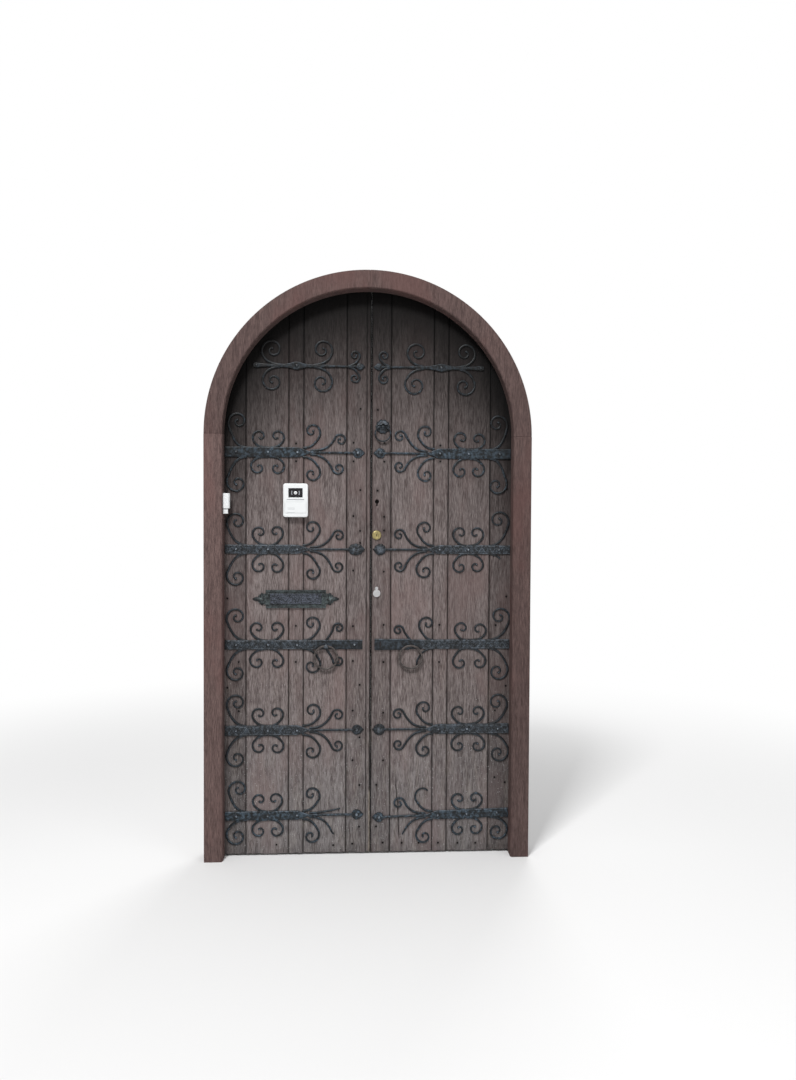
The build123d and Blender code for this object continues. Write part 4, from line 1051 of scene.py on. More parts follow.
def bar(skin: Skin, place: Place, u: Array, half: Array, thick: Array, seed: int,
        twist: Array | float = 0.0) -> None:
    """A flat bar with bevelled edges that wander a little, and a hammered face.

    The face's height is thick · bevel + hammering, where the bevel falls off within 3.6 mm of each edge.

    Args:
        skin: the mesh to add to.
        place: the face that it lies on.
        u: places along it.
        half, thick: half its width and its thickness at each of them.
        seed: the number that its hammering follows from.
        twist: how deep a rope's turns are cut in it, each 9 mm long.
    """
    half = half + ripple(u, u * 0, 24, seed) * 0.5 * (half > 6)
    tight = np.minimum(1.0, half / 7)[:, None]
    low = -half[:, None] + BAR_INSET * tight
    middle = np.linspace(-1, 1, 9)[1:-1] * (half[:, None] - BAR_INSET[-1] * tight)
    v = np.concatenate([low, middle, -low[:, ::-1]], axis=1)
    run = np.broadcast_to(u[:, None], v.shape)
    hammer = ripple(run, v, 12, seed + 1) * 0.35 + ripple(run, v, 5, seed + 2) * 0.15
    w = thick[:, None] * BAR_BEVEL + hammer * (BAR_BEVEL > 0.9)
    w = w + twist * np.sin((run + 1.5 * v) * 2 * np.pi / 9) * (BAR_BEVEL > 0.6)
    flat = np.zeros((len(u), 1))
    v = np.concatenate([v, half[:, None], -half[:, None]], axis=1)
    w = np.concatenate([w, flat, flat], axis=1)
    run = np.broadcast_to(u[:, None], v.shape)
    skin.grid(place.world(run, v, w), worn_and_painted_light=np.broadcast_to(BAR_WEAR_AND_LIGHT, v.shape),
              spot=np.stack([run, v], axis=-1) * MM)


# A bent eye's section round the bar: across the bevel and through its thickness
EYE_ACROSS = np.array([-1, -1, 0, 0, 1, 1, 0, 0])
EYE_BEVEL = np.array([0, 0, -1, 1, 0, 0, 1, -1])
EYE_DEEP = np.array([-0.6, 0.6, 1, 1, 0.6, -0.6, -1, -1])


def bent_eye(skin: Skin, middle: tuple[float, float, float], radius: float, legs: tuple[float, ...],
             half_width: Callable[[Array], Array], flat: float, half_thick: float, worn_and_painted_light: float,
             steps: int) -> None:
    """A flat bar bent round an eye: out along its legs, half round at the radius and back below.

    The section is carried along that line, set across its normal.

    Args:
        skin: the mesh to add to.
        middle: x, y and z of the eye's middle.
        radius: from there to the middle of the bar.
        legs: Y of the points of a leg, from the iron outwards.
        half_width: half the bar's width as a function of the height above the middle.
        flat: the flat part's share of the width, between the bevels.
        half_thick: half the bar's thickness.
        worn_and_painted_light: how worn it is.
        steps: the number of points round the turn.
    """
    x, y, z = middle
    turn = np.linspace(np.pi / 2, -np.pi / 2, steps)
    ends = np.full(len(legs), radius)
    line = np.stack([np.concatenate([legs, y - radius * np.cos(turn), legs[::-1]]),
                     np.concatenate([ends, radius * np.sin(turn), -ends])], axis=-1)
    way = np.gradient(line, axis=0)
    way /= np.linalg.norm(way, axis=1, keepdims=True)
    out = np.stack([way[:, 1], -way[:, 0]], axis=-1)
    deep = EYE_DEEP * half_thick
    across = half_width(line[:, 1])[:, None] * (EYE_ACROSS + flat * EYE_BEVEL)
    yy = line[:, None, 0] + out[:, None, 0] * deep
    zz = line[:, None, 1] + out[:, None, 1] * deep + z
    skin.grid(np.stack([x + across, yy, zz], axis=-1) * MM, worn_and_painted_light=worn_and_painted_light)


# Strap ironwork


@dataclass(frozen=True)
class Scroll:
    """A scroll: it leaves the bar at its root on a heading and winds about its eye.

    Places are in u and v. It starts round the eye at start degrees and at the outer radius, and after turn
    degrees it ends at the tip's radius. A lifted one has its root on the bar's edge.
    """

    root: tuple[float, float]
    heading: tuple[float, float]
    eye: tuple[float, float]
    start: float
    turn: float
    outer: float
    tip: float
    power: float = 1.0
    lifted: bool = True

    def path(self, lift: float, shift: tuple[float, float], rng: np.random.Generator) -> Array:
        """Points along the middle: a cubic lead-in, then a spiral.

        The spiral's radius is outer + (tip - outer) · share^power of its turn.

        Args:
            lift: how far the root is moved with the bar's edge.
            shift: how far the eye is moved.
            rng: gives each scroll its own small differences.

        Returns:
            Points of shape (n, 2), in u and v.
        """
        root = np.array(self.root) + (0, lift if self.lifted else 0)
        eye = np.array(self.eye) + shift + rng.uniform(-1.5, 1.5, 2)
        outer = self.outer * rng.uniform(0.96, 1.04)
        start = math.radians(self.start + rng.uniform(-5, 5))
        first = eye + outer * np.array((math.cos(start), math.sin(start)))
        arm = 0.42 * np.linalg.norm(first - root)
        heading = np.array(self.heading) / np.linalg.norm(self.heading)
        back = math.copysign(1.0, self.turn) * np.array((math.sin(start), -math.cos(start)))
        corners = np.array([root, root + arm * heading, first + arm * back, first])
        t = np.linspace(0, 1, 14, endpoint=False)[:, None]
        weights = np.concatenate([(1 - t) ** 3, 3 * t * (1 - t) ** 2, 3 * t * t * (1 - t), t ** 3], axis=1)
        share = np.linspace(0, 1, max(12, round(abs(self.turn) / 8)))
        angle = start + math.radians(self.turn) * share
        radius = (outer + (self.tip - outer) * share ** self.power)[:, None]
        spiral = eye + radius * np.stack([np.cos(angle), np.sin(angle)], axis=-1)
        return np.concatenate([weights @ corners, spiral])


# Each kind of scroll, drawn on the upper edge of a bar of which half the height is this
DRAWN_HALF = 21.5
EDGE = Scroll((90, 18), (-1, 0.1), (49, 116), 200, -440, 45, 8, 0.8)
PAIR_LEFT = Scroll((178, 19), (-1, 0), (144, 69), 215, -325, 33, 6)
PAIR_RIGHT = Scroll((184, 19), (1, 0), (212, 70), -35, 325, 33, 6)
BRANCH = Scroll((322, 19), (1, 0), (359, 88), -30, 400, 39, 6, 0.8)
CURL = Scroll((352, 8), (1, 0), (470, 63), 155, -400, 24, 6, 1.3, lifted=False)
SQUARE_CURL = Scroll((420, 17), (0.5, 0.85), (472, 69), 165, -420, 23, 6)
TOP_OUTER = Scroll((108, 4), (-1, 0.15), (78, 64), 200, -440, 44, 7, lifted=False)
TOP_INNER = Scroll((250, 4), (1, 0.15), (284, 68), -22, 440, 43, 7, 1.3, lifted=False)
TOP_CURL = Scroll((392, 3), (1, 0.1), (418, 47), -30, 400, 22, 6, lifted=False)

# Where a scroll's eye stands off its kind's place: leaf, strap number, upper or lower, kind
SHIFTED = {
    ("left", 2, 1, EDGE): (6, 12), ("left", 2, -1, EDGE): (3, 12),
    ("right", 2, 1, EDGE): (8, 10), ("right", 2, -1, EDGE): (10, 14),
    ("left", 2, 1, CURL): (7, -9), ("right", 2, -1, CURL): (0, -9), ("right", 2, 1, CURL): (0, 7),
    ("left", 2, 1, PAIR_LEFT): (2, -6), ("left", 2, -1, PAIR_LEFT): (-6, -6),
    ("left", 2, 1, PAIR_RIGHT): (2, -6), ("left", 2, -1, PAIR_RIGHT): (3, -6),
    ("right", 2, 1, PAIR_LEFT): (-2, -10), ("right", 2, 1, PAIR_RIGHT): (-4, -6),
    ("right", 3, 1, EDGE): (0, 9), ("left", 3, -1, BRANCH): (0, 10), ("left", 3, -1, CURL): (0, 8),
    ("left", 3, 1, CURL): (2, -5), ("right", 3, -1, CURL): (0, 6),
    ("left", 4, 1, PAIR_LEFT): (-8, 0), ("left", 4, -1, PAIR_LEFT): (-8, 1),
    ("right", 4, 1, PAIR_LEFT): (-13, -8), ("right", 4, -1, PAIR_LEFT): (-15, 8),
    ("right", 4, 1, PAIR_RIGHT): (-10, -3), ("right", 4, -1, PAIR_RIGHT): (-3, 6),
    ("right", 4, 1, EDGE): (-7, 0), ("right", 4, 1, SQUARE_CURL): (0, -9), ("right", 4, 1, BRANCH): (-9, 0),
    ("right", 5, 1, PAIR_LEFT): (-8, 2), ("right", 5, -1, PAIR_LEFT): (-11, 0),
    ("right", 5, 1, EDGE): (0, -4), ("right", 5, -1, EDGE): (-6, -12), ("left", 5, 1, BRANCH): (5, -7),
    ("left", 6, 1, EDGE): (8, -2), ("left", 6, -1, EDGE): (2, -30), ("right", 6, -1, EDGE): (-2, -38),
    ("left", 6, 1, PAIR_LEFT): (2, -5), ("left", 6, 1, PAIR_RIGHT): (-4, -3),
    ("left", 6, -1, PAIR_LEFT): (0, -6), ("left", 6, -1, PAIR_RIGHT): (0, -6),
    ("right", 6, 1, PAIR_LEFT): (-2, -6), ("right", 6, 1, PAIR_RIGHT): (-4, -8),
    ("right", 6, -1, PAIR_LEFT): (0, -6), ("right", 6, -1, PAIR_RIGHT): (-2, -6),
    ("right", 6, 1, CURL): (-6, -8), ("right", 1, 1, TOP_INNER): (-3, -7),
    ("right", 1, -1, TOP_INNER): (4, 4), ("right", 1, -1, TOP_OUTER): (3, 9),
}

# The share that is left of each broken scroll: leaf, strap number, upper or lower, kind
BROKEN = {
    ("left", 6, 1, CURL): 0.0,
    ("left", 6, -1, CURL): 0.3,
    ("right", 3, -1, EDGE): 0.1,
    ("right", 4, -1, BRANCH): 0.3,
    ("right", 4, -1, SQUARE_CURL): 0.0,
    ("right", 6, 1, EDGE): 0.0,
    ("right", 6, 1, BRANCH): 0.55,
    ("right", 6, -1, CURL): 0.25,
}

# The curl that is bent flat against its strap: from and to in u, from and to in v, width and thickness
FLATTENED_STRAP = ("left", 6)
FLATTENED_CURL = ((352, 482), (8, 26), (9, 6), (5.6, 4.4))

# The strap that is bent up, and by how many degrees
TILTED_STRAP = ("right", 6)
TILT = 1.4

# Straps with a chased zigzag, and half the height of the top strap's bar along u
ENGRAVED_STRAPS = (3, 4, 5)
TOP_PLACES = (0, 12, 30, 60, 90, 130, 150, 165, 178, 191, 206, 226, 270, 305, 320)
TOP_HALVES = (8, 10.5, 8, 6, 7.2, 8, 10.5, 15, 17, 15, 10.5, 7.6, 6.6, 6.4, 4.4)
TOP_STEM = 4.2


@dataclass
class Strap:
    """One forged strap: its bar, scrolls, rivets and end piece."""

    leaf: str
    number: int
    height: float
    bar_height: float
    finishes: Finishes
    bar_length: float = 357.0
    taper: float = 60.0
    stem: float = 4.5
    root_width: float = 10.0
    tip_width: float = 6.5
    rivets: tuple[float, ...] = (47.0, 178.0, 300.0)
    top_start: float = 479.8
    lock_plate: float = 155.0
    lock_plate_half: float = 23.5
    skin: Skin = field(default_factory=Skin)

    def __post_init__(self) -> None:
        """Place the strap and seed its small differences."""
        side = SIDES[self.leaf]
        self.start = self.top_start if self.number == 1 else STRAP_END
        self.reach = self.start - (STRAP_END - STRAP_REACH)
        tilt = TILT if (self.leaf, self.number) == TILTED_STRAP else 0.0
        self.place = Place(side * self.start, self.height, FACE_Y, -side, tilt)
        self.seed = 40 * self.number + (0 if side < 0 else 20)
        self.rng = np.random.default_rng(self.seed)

    def rivet(self, u: float, radius: float = 7.5, height: float = 4.6) -> None:
        """A domed rivet head on the bar."""
        relief(self.skin, self.place, circular(radius), 1.2, height - 1.2, u, 0, IRON_THICK - 0.6,
               around=24, polish=1.6)

    def scrolls(self, kinds: Iterable[Scroll]) -> None:
        """Both scrolls of each kind, mirrored about the bar, ending in a small ball unless they are broken.

        Args:
            kinds: the kinds that this strap has.
        """
        lift = self.bar_height / 2 - DRAWN_HALF
        for kind in kinds:
            for flip in (1, -1):
                left_over = BROKEN.get((self.leaf, self.number, flip, kind), 1.0)
                if left_over == 0.0:
                    continue
                shift = SHIFTED.get((self.leaf, self.number, flip, kind), (0, 0))
                path = kind.path(lift, shift, self.rng) * (1, flip)
                path = path[:max(6, round(len(path) * left_over))]
                run = np.linspace(0, 1, len(path))
                wander = ripple(run * 300, run * 0, 16, int(self.rng.integers(9999)))
                width = (self.root_width + (self.tip_width - self.root_width) * run) * (1 + 0.05 * wander)
                thick = (IRON_THICK - 0.4 - 1.2 * run) * (1 + 0.06 * wander)
                sweep(self.skin, self.place, path, width, thick)
                if left_over == 1.0:
                    relief(self.skin, self.place, circular(5.0), 3.2, 2.4, *path[-1], around=16)

    def bar(self) -> None:
        """The bar of a plain strap: straight, then tapering to its stem, which is twisted on strap 3."""
        half = self.bar_height / 2
        u = np.arange(0, self.reach - 20, 2.5)
        fall = ease(u, self.bar_length - self.taper, self.bar_length)
        edge = half + (self.stem - half) * fall
        twist = (0.7 * fall)[:, None] if self.number == 3 else 0.0
        bar(self.skin, self.place, u, edge, np.full_like(u, IRON_THICK) + 0.4 * fall, self.seed, twist)

    def disc(self) -> None:
        """The end piece: a disc with a tip and a domed rivet, or on some straps a textured bud."""
        bud = {("left", 3): self.leaf_bud, ("right", 3): self.round_bud, ("right", 5): self.round_bud}
        if (self.leaf, self.number) in bud:
            bud[self.leaf, self.number]()
            return
        centre = self.reach - 29

        def outline(angle: Array) -> Array:
            """A circle of 21 mm with a point of 29 mm ahead."""
            return 21 + point(angle, 8.5, 0.30)

        relief(self.skin, self.place, outline, IRON_THICK - 1.2, 1.6, centre)
        self.rivet(centre, 9.5, 6.0)

    def leaf_bud(self) -> None:
        """A long bud like an acorn in its leaf, 72 mm by 50 mm, ribbed towards its point."""
        def outline(angle: Array) -> Array:
            """An ellipse with shallow lobes and a point ahead."""
            egg = 1 / np.sqrt((np.cos(angle) / 33) ** 2 + (np.sin(angle) / 24) ** 2)
            return egg * (1 + 0.05 * np.cos(8 * angle)) + point(angle, 3.5, 0.25, 1.4)

        def ribs(share: Array, angle: Array) -> Array:
            """Ribs that run out from the middle, and a cup ring."""
            return 0.9 * np.cos(9 * angle) * share + 1.2 * np.exp(-((share - 0.5) / 0.12) ** 2)

        relief(self.skin, self.place, outline, IRON_THICK - 1.0, 3.6, self.reach - 36, around=64,
               texture=ribs)

    def round_bud(self) -> None:
        """A round textured bud, 50 mm across, with a point."""
        def outline(angle: Array) -> Array:
            """A wavy circle with a point ahead."""
            return 24 * (1 + 0.045 * np.cos(10 * angle)) + point(angle, 6, 0.28)

        def rough(share: Array, angle: Array) -> Array:
            """Small knobs all over."""
            return 0.9 * np.cos(10 * angle) * np.sin(share * 9) * share

        relief(self.skin, self.place, outline, IRON_THICK - 1.0, 4.2, self.reach - 30, around=64,
               texture=rough)

    def top(self) -> None:
        """The strap under the arch: flared outer end, lozenge, stem and a spear-shaped bud."""
        u = np.arange(0, self.reach - 30, 2.0)
        half = np.interp(u, (*TOP_PLACES, self.reach - 44), (*TOP_HALVES, TOP_STEM))
        bar(self.skin, self.place, u, half, np.full_like(u, IRON_THICK), self.seed)

        def spear(angle: Array) -> Array:
            """A pointed egg 44 mm long."""
            return 15 + point(angle, 7.5, 0.35)

        relief(self.skin, self.place, spear, IRON_THICK - 1.0, 2.0, self.reach - 22)
        self.rivet(12.0, 6.0, 4.0)
        self.rivet(178.0, 8.0, 4.6)
        self.rivet(self.reach - 22, 6.0, 4.6)

    def square(self) -> None:
        """The strap with a ring pull: square ended, or ending in a lock plate, with the ring's staple."""
        u = np.arange(0, self.reach - 5.9, 2.5)
        half = np.full_like(u, self.bar_height / 2)
        thick = np.full_like(u, IRON_THICK)
        if self.leaf == "right":
            plate = self.reach - self.lock_plate
            share = ease(u, plate - 1, plate + 1)
            half = half + (self.lock_plate_half - half) * share
            thick = thick + 1.0 * share
        bar(self.skin, self.place, u, half, thick, self.seed)
        if self.leaf == "left":
            self.rivet(self.reach - 40, 8.0, 5.0)
        self.staple()

    def staple(self, radius: float = 7.353) -> None:
        """The staple of a ring pull: a flat bar bent round the ring's line, widest at its foot.

        Half its width is 7 - 3.4 · rise / radius, so from 3.6 mm at the upper leg to 10.4 mm at the lower.

        Args:
            radius: from the ring's line to the middle of the bar.
        """
        middle = (SIDES[self.leaf] * RING_X, RING_LINE_Y, RING_HANG_Z)
        bent_eye(self.skin, middle, radius, (-26.0, -31.0), lambda rise: 7.0 - 3.4 * rise / radius,
                 flat=0.8, half_thick=1.9, worn_and_painted_light=0.5, steps=17)

    def flattened_curl(self) -> None:
        """The curl that is bent flat: it rises slowly off the bar, by the power 1.6 of its share."""
        share = np.linspace(0, 1, 24)
        along, rise, width, thick = FLATTENED_CURL
        path = np.stack([np.linspace(*along, 24), rise[0] + (rise[1] - rise[0]) * share ** 1.6], axis=-1)
        sweep(self.skin, self.place, path, np.linspace(*width, 24), np.linspace(*thick, 24))

    def build(self) -> None:
        """Put the strap together and hang it on its leaf."""
        if self.number == 1:
            self.top()
            self.scrolls((TOP_OUTER, TOP_INNER, TOP_CURL))
        elif self.number == 4:
            self.square()
            self.scrolls((EDGE, PAIR_LEFT, PAIR_RIGHT, BRANCH, SQUARE_CURL))
        else:
            self.bar()
            self.disc()
            self.scrolls((EDGE, PAIR_LEFT, PAIR_RIGHT, BRANCH, CURL))
        if self.number != 1:
            for u in self.rivets:
                self.rivet(u)
        if (self.leaf, self.number) == FLATTENED_STRAP:
            self.flattened_curl()
        finish = self.finishes.engraved if self.number in ENGRAVED_STRAPS else self.finishes.blued
        piece = self.skin.finish(f"{self.leaf}_forged_strap_{self.number}", finish, 50)
        if (self.leaf, self.number) == ("right", 4):
            slit = Skin()
            slit_x = self.place.x - (self.reach - 32)
            prism(slit, rectangle(slit_x, self.height, 4.0, 26.0), -40, FACE_Y + 0.5)
            pierce(piece, slit)
        hang(piece, f"{self.leaf}_leaf", [f"{self.leaf}_strap_{self.number}"])


# Fittings


def hoop(skin: Skin, x: float, y: float, z: float, radius: float, bar_radius: float, seed: int) -> None:
    """A forged ring in the door's plane: at angles a and b it is R + r cos b out and r sin b deep.

    Args:
        skin: the mesh to add to.
        x, y, z: the ring's middle.
        radius: R, to the middle of the bar.
        bar_radius: the bar's radius, from which r wanders a little.
        seed: the number that the hammering follows from.
    """
    a = np.linspace(0, 2 * np.pi, 72, endpoint=False)[:, None]
    b = np.linspace(0, 2 * np.pi, 16, endpoint=False)[None, :]
    r = bar_radius * (1 + 0.05 * ripple(a * 60, b * 8, 14, seed))
    out = radius + r * np.cos(b)
    y_all = np.broadcast_to(y + r * np.sin(b), (72, 16))
    surface = np.stack([x + out * np.cos(a), y_all, z + out * np.sin(a)], axis=-1) * MM
    worn_and_painted_light = 0.35 + 0.4 * np.broadcast_to(np.cos(b - 1.57), (72, 16))
    skin.grid(surface, loop=True, caps="none", worn_and_painted_light=worn_and_painted_light)


def eased(node: str, finish: bpy.types.Material, bevel: float, tone: float = 0.0,
          angle: float = 30.0) -> None:
    """A merged copy of a solid with its edges eased, which stands for the solid.

    Args:
        node: the solid's name.
        finish: what it is finished in.
        bevel: the width of the eased edge, in millimetres.
        tone: how much lighter the finish is.
        angle: edges sharper than this many degrees are eased.
    """
    source = bpy.data.objects[node]
    mesh = source.data.copy()
    tidy(mesh, 2e-6, math.radians(0.5))
    piece = show(mesh, f"{node}_dressed", finish, angle)
    ridge = piece.modifiers.new("eased", "BEVEL")
    ridge.width, ridge.segments, ridge.limit_method = bevel * MM, 2, "ANGLE"
    ridge.angle_limit, ridge.harden_normals = math.radians(angle), True
    mark(piece, "tone", lambda x, z: np.full_like(x, tone))
    mark(piece, "worn_and_painted_light", lambda x, z: np.full_like(x, 0.25))
    hang(piece, source["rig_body"], [node])


@dataclass
class RingPull:
    """A ring pull that hangs in its staple."""

    leaf: str
    finishes: Finishes
    radius: float = 48.0
    bar: float = 4.1

    def build(self) -> None:
        """Build the ring and let it ride its own body."""
        skin = Skin()
        hoop(skin, SIDES[self.leaf] * RING_X, RING_LINE_Y, RING_HANG_Z - self.radius, self.radius,
             self.bar, 3)
        piece = skin.finish(f"{self.leaf}_pull_hoop", self.finishes.rubbed)
        hang(piece, f"{self.leaf}_ring", [f"{self.leaf}_pull_ring"])


@dataclass
class Knocker:
    """The knocker: a lobed rose with a hood over its eye, and a ring."""

    finishes: Finishes
    x: float = 57.0
    z: float = 1806.0
    radius: float = 29.0
    hang_z: float = 1808.0
    ring_y: float = -33.99
    ring_radius: float = 32.0
    ring_bar: float = 3.1
    lobes: int = 10
    hood_outer: tuple[float, float, float] = (22.0, 3.0, 19.5)
    hood_inner: tuple[float, float, float] = (19.6, 2.0, 17.0)
    hood_rise: float = 3.5
    eye_radius: float = 5.69
    eye_half: float = 4.6

    def build(self) -> None:
        """Build the rose with its hood and eye, and the ring."""
        skin = Skin()

        def petals(angle: Array) -> Array:
            """A circle with round lobes."""
            return self.radius * (0.93 + 0.14 * np.abs(np.cos(self.lobes / 2 * angle)))

        def dish(share: Array, angle: Array) -> Array:
            """Grooves between the lobes and a bead inside them."""
            lobe = 0.9 * np.abs(np.cos(self.lobes / 2 * angle)) * ease(share, 0.6, 0.95)
            return lobe - 1.2 * ease(0.6 - share, 0, 0.2)

        relief(skin, Place(self.x, self.z, FACE_Y), petals, 3.4, 0.4, around=120, texture=dish)
        self.hood(skin)
        middle = (self.x, self.ring_y, self.hang_z)
        bent_eye(skin, middle, self.eye_radius, (-25.0,), lambda rise: np.full_like(rise, self.eye_half),
                 flat=0.7, half_thick=1.6, worn_and_painted_light=0.4, steps=13)
        rose = skin.finish("knocker_lobed_rose", self.finishes.iron)
        hang(rose, "right_leaf", ["knocker_rose"])
        ring = Skin()
        hoop(ring, self.x, self.ring_y, self.hang_z - self.ring_radius, self.ring_radius, self.ring_bar, 4)
        loop = ring.finish("knocker_hoop", self.finishes.iron)
        hang(loop, "knocker_ring", ["knocker_ring"])

    def hood(self, skin: Skin) -> None:
        """Half a shell over the eye: at share s of its radius, foot + depth · (1 - s^2.2) off the face.

        It starts above the ring's bar, and its inner skin gives it a wall.

        Args:
            skin: the mesh to add to.
        """
        angle = np.linspace(0.16, np.pi - 0.16, 33)[None, :]
        share = np.linspace(1, 0.30, 10)[:, None]
        place = Place(self.x, self.z + self.hood_rise, FACE_Y)
        top, under = (
            place.world(share * radius * np.cos(angle), share * radius * np.sin(angle),
                        foot + depth * (1 - share ** 2.2))
            for radius, foot, depth in (self.hood_outer, self.hood_inner))
        skin.grid(np.concatenate([top, under[::-1]], axis=0), ring=False, loop=True, caps="none", worn_and_painted_light=0.8)
        for end in (0, -1):
            side = np.stack([top[:, end], under[:, end]], axis=1)
            skin.grid(side, ring=False, caps="none", worn_and_painted_light=0.8)


# Lines on the door station: from and to along u, height off its middle, width, thickness and depth
STATION_LINES = (
    (-36, 36, 3.0, 3.0, 0.4, 0.1), (-35, 34, -7.5, 0.8, 0.4, 0.1),
    (-33, -3, -32.0, 1.0, 0.3, -0.9), (-33, -3, -37.0, 1.0, 0.3, -0.9), (-33, -3, -51.0, 1.0, 0.3, -0.9),
)


@dataclass
class DoorStation:
    """The entry panel: a white case with a dark window and lens, a press button below."""

    finishes: Finishes
    x: float = -304.6
    z: float = 1495.0
    front: float = -48.0
    window_rise: float = 31.0
    window: tuple[float, float] = (58.6, 38.6)
    lens: float = 6.6
    pupil: float = 1.7
    bracket: float = 17.0

    def build(self) -> None:
        """Dress the case and button, and add the window, its lens, brackets and lines."""
        eased("station_case", self.finishes.plastic, 1.2)
        eased("station_button", self.finishes.plastic, 0.6)
        mid = self.z + self.window_rise
        glass = Skin()
        prism(glass, rectangle(self.x, mid, *self.window), self.front + 0.5, self.front + 1.2)
        self.add(glass, "station_window", self.finishes.glass)
        lens = Skin()
        relief(lens, Place(self.x, mid, self.front + 0.6), circular(self.lens), 0.5, 1.2, around=32)
        self.add(lens, "station_lens", self.finishes.plastic)
        pupil = Skin()
        relief(pupil, Place(self.x, mid, self.front - 0.6), circular(self.pupil), 0.5, 0.3, around=16)
        self.add(pupil, "station_pupil", self.finishes.glass)
        self.add(self.marks(mid), "station_marks", self.finishes.grey)

    def add(self, skin: Skin, name: str, finish: bpy.types.Material) -> None:
        """Make one of the station's small parts."""
        hang(skin.finish(name, finish), "left_leaf")

    def marks(self, mid: float) -> Skin:
        """The brackets beside the lens, arcs of half a radian each way, and the case's and button's lines.

        Args:
            mid: the height of the window's middle.

        Returns:
            The marks as one mesh.
        """
        marks = Skin()
        for way in (-1, 1):
            angle = np.linspace(-0.5, 0.5, 10)
            aside = way * (self.bracket * np.cos(angle) - 1)
            path = np.stack([aside, self.bracket * np.sin(angle)], axis=-1)
            sweep(marks, Place(self.x, mid, self.front + 0.5), path, np.full(10, 3.6), np.full(10, 0.35))
        for low, high, rise, width, thick, depth in STATION_LINES:
            line = np.stack([np.linspace(low, high, 4), np.zeros(4)], axis=-1)
            place = Place(self.x, self.z + rise, self.front + depth)
            sweep(marks, place, line, np.full(4, width), np.full(4, thick))
        return marks


# How much lighter the left jamb is, and how far out and in go the black sheets that stand in the keyway and
# the old keyhole as painted shade
PALE_JAMB = 0.35
KEYWAY_SHADE_DEPTHS = (-32.3, -31.2)
OLD_KEYHOLE_SHADE_DEPTHS = (-16.0, -6.0)


@dataclass
class Ironmongery:
    """The rest of the fittings, each a solid with its edges eased and its finish on."""

    finishes: Finishes

    def build(self) -> None:
        """Dress each fitting in its finish."""
        f = self.finishes
        eased("letter_plate", f.plate, 0.7)
        eased("letter_flap", f.flap, 0.7)
        self.leaves()
        # A black sheet in front of the plug, as painted shade in its keyway
        keyway = Skin()
        prism(keyway, rectangle(CYLINDER_X, CYLINDER_Z - 1, 2.4, 9.0), *KEYWAY_SHADE_DEPTHS)
        hang(keyway.finish("latch_keyway_shade", f.nail), "right_leaf")
        # A black plug deep in the old keyhole, as painted shade
        hole_shade = Skin()
        prism(hole_shade, keyhole(OLD_KEYHOLE_X, OLD_KEYHOLE_Z, 8.3, 6.1, 18.2), *OLD_KEYHOLE_SHADE_DEPTHS)
        hang(hole_shade.finish("old_keyhole_shade", f.nail), "right_leaf")
        for node in ("hinge_hooks", "left_hinge_bands", "right_hinge_bands", "tower_bolt_plates",
                     "top_bolt_rod", "foot_bolt_rod", "top_bolt_keep"):
            eased(node, f.iron, 0.8)
        for node in ("latch_cylinder", "latch_plug", "latch_knob", "latch_bolt"):
            eased(node, f.brass, 0.4)
        for node in ("latch_case", "latch_keep"):
            eased(node, f.steel, 0.8)
        for node in ("escutcheon", "escutcheon_cover"):
            eased(node, f.chrome, 0.5)
        eased("reveal_contact", f.plastic, 1.5)
        for node in ("jamb_left", "jamb_right", "head_left", "head_right"):
            eased(node, f.jamb, 2.0, PALE_JAMB if node == "jamb_left" else 0.0)

    def leaves(self) -> None:
        """The cast leaves at the letter plate's ends: a pointed lobe ahead and a round one to each side."""
        skin = Skin()

        def outline(angle: Array) -> Array:
            """A small disc that grows to 37 mm ahead and to 25 mm either side."""
            return 12 + point(angle, 26, 0.42, 1.6) + 14 * np.exp(-((turned(angle) - 1.6) / 0.46) ** 2)

        def veins(share: Array, angle: Array) -> Array:
            """Hollows between the lobes."""
            return 1.4 * np.cos(3.6 * angle) * share - 1.0 * share

        for way in (-1, 1):
            place = Place(LETTER_X + way * 125.0, LETTER_Z, FACE_Y, way)
            relief(skin, place, outline, 5.0, 3.0, 17.0, around=96, texture=veins, polish=0.5)
        hang(skin.finish("letter_plate_leaves", self.finishes.plate), "left_leaf")


# Studio


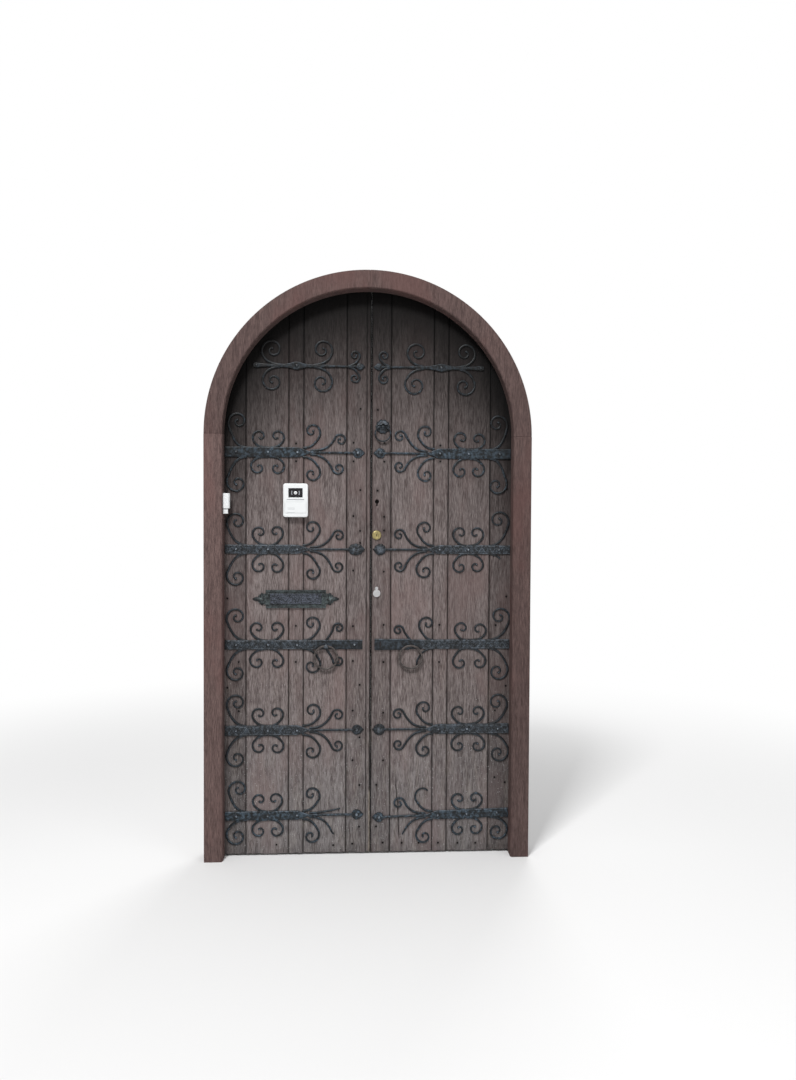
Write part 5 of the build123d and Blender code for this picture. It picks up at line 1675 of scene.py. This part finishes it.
@dataclass
class Studio:
    """A pale floor that fades into white, soft lamps, and the camera, its angles in degrees."""

    eye: tuple[float, float, float] = (-0.0659, -3.4302, 1.4181)
    yaw: float = 3.175
    pitch: float = 1.457
    roll: float = -0.285
    lens: float = 27.03
    floor_radius: float = 9.0
    daylight: float = 0.42

    def camera(self) -> None:
        """Place the camera: forward from yaw and pitch, then the picture turned by the roll."""
        y, p, r = (math.radians(a) for a in (self.yaw, self.pitch, self.roll))
        ahead = Vector((math.sin(y) * math.cos(p), math.cos(y) * math.cos(p), -math.sin(p)))
        right = Vector((math.cos(y), -math.sin(y), 0.0))
        down = ahead.cross(right)
        across = right * math.cos(r) + down * math.sin(r)
        below = down * math.cos(r) - right * math.sin(r)
        data = bpy.data.cameras.new("viewpoint")
        data.lens, data.sensor_fit, data.sensor_height = self.lens, "VERTICAL", 36.0
        view = bpy.data.objects.new("viewpoint", data)
        turn = Matrix((across, -below, -ahead)).transposed().to_4x4()
        view.matrix_world = Matrix.Translation(self.eye) @ turn
        bpy.context.scene.collection.objects.link(view)
        bpy.context.scene.camera = view

    def floor(self) -> None:
        """A disc whose finish turns to plain white with the distance, for the camera alone."""
        angle = np.linspace(0, 2 * np.pi, 96, endpoint=False)[None, :]
        radius = np.array([self.floor_radius, self.floor_radius * 0.5, 0.0])[:, None]
        rows = np.stack([radius * np.cos(angle), radius * np.sin(angle), np.zeros((3, 96))], axis=-1)
        skin = Skin()
        skin.grid(rows, caps="none")
        g = Graph("pale_floor")
        g.set(Base_Color=tint(0.80, 0.80, 0.80), Roughness=0.9)
        x, y, _ = g.parts(g.place)
        away = g.math("SQRT", x * x + y * y)
        sight = g.node("ShaderNodeLightPath", {}, {}, "Is Camera Ray")
        glow = g.node("ShaderNodeEmission", {}, {"Color": tint(1, 1, 1), "Strength": 1.0})
        blend = g.node("ShaderNodeMixShader", {}, {0: g.step(away, 1.3, 4.2) * sight,
                                                   1: Term(g, g.shader.outputs[0]), 2: glow})
        output = next(n for n in g.tree.nodes if n.type == "OUTPUT_MATERIAL")
        g.feed(output.inputs["Surface"], blend)
        skin.finish("studio_floor", g.material)

    def world(self) -> None:
        """Even daylight, and plain white where the camera looks past the floor."""
        world = bpy.data.worlds.new("studio")
        bpy.context.scene.world = world
        world.use_nodes = True
        tree = world.node_tree
        back = next(n for n in tree.nodes if n.type == "BACKGROUND")
        back.inputs["Color"].default_value = (1, 1, 1, 1)
        path = tree.nodes.new("ShaderNodeLightPath")
        level = tree.nodes.new("ShaderNodeMapRange")
        level.inputs["To Min"].default_value = self.daylight
        tree.links.new(path.outputs["Is Camera Ray"], level.inputs["Value"])
        tree.links.new(level.outputs[0], back.inputs["Strength"])

    def lamp(self, name: str, place: tuple[float, float, float], power: float, size: float) -> None:
        """A square soft lamp that faces the middle of the door.

        Args:
            name: its name.
            place: where it is, in metres.
            power: its power in watts.
            size: its side in metres.
        """
        data = bpy.data.lights.new(name, "AREA")
        data.energy, data.size = power, size
        lamp = bpy.data.objects.new(name, data)
        lamp.location = place
        lamp.rotation_euler = (Vector((0, 0, 1.2)) - Vector(place)).to_track_quat("-Z", "Y").to_euler()
        bpy.context.scene.collection.objects.link(lamp)

    def build(self) -> None:
        """Build the floor, the world, the lamps and the camera."""
        self.floor()
        self.world()
        self.lamp("key", (-1.3, -3.3, 5.6), 300.0, 1.1)
        self.lamp("fill", (3.4, -3.6, 2.4), 40.0, 2.4)
        self.lamp("behind", (1.5, 4.4, 3.8), 110.0, 2.6)
        self.camera()
        bpy.context.scene.view_settings.view_transform = "Standard"


# The straps' heights from the top down, the heights of their bars, and how light each plank is, with the
# outermost plank of each leaf darker as painted shade from the jamb
STRAP_HEIGHTS = (SPRING + 290.0, 1695.0, 1291.0, 891.0, 530.0, 170.0)
BAR_HEIGHTS = (14.0, 43.0, 38.0, 40.0, 43.0, 38.0)
PLANK_TONES_AND_SHADE = {"left": (-0.10, 0.06, 0.0, 0.06, -0.3), "right": (-0.14, 0.02, -0.04, -0.12, -0.38)}


def main() -> None:
    """Build the door piece by piece in the frame, then the studio."""
    logging.basicConfig(level=logging.INFO, format="%(message)s")
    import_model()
    finishes = Finishes()
    for name in SIDES:
        Leaf(name, finishes, PLANK_TONES_AND_SHADE[name]).build()
        for number, (height, bar_height) in enumerate(zip(STRAP_HEIGHTS, BAR_HEIGHTS), start=1):
            Strap(name, number, height, bar_height, finishes).build()
        RingPull(name, finishes).build()
    Knocker(finishes).build()
    DoorStation(finishes).build()
    Ironmongery(finishes).build()
    Studio().build()


if __name__ == "__main__":
    main()
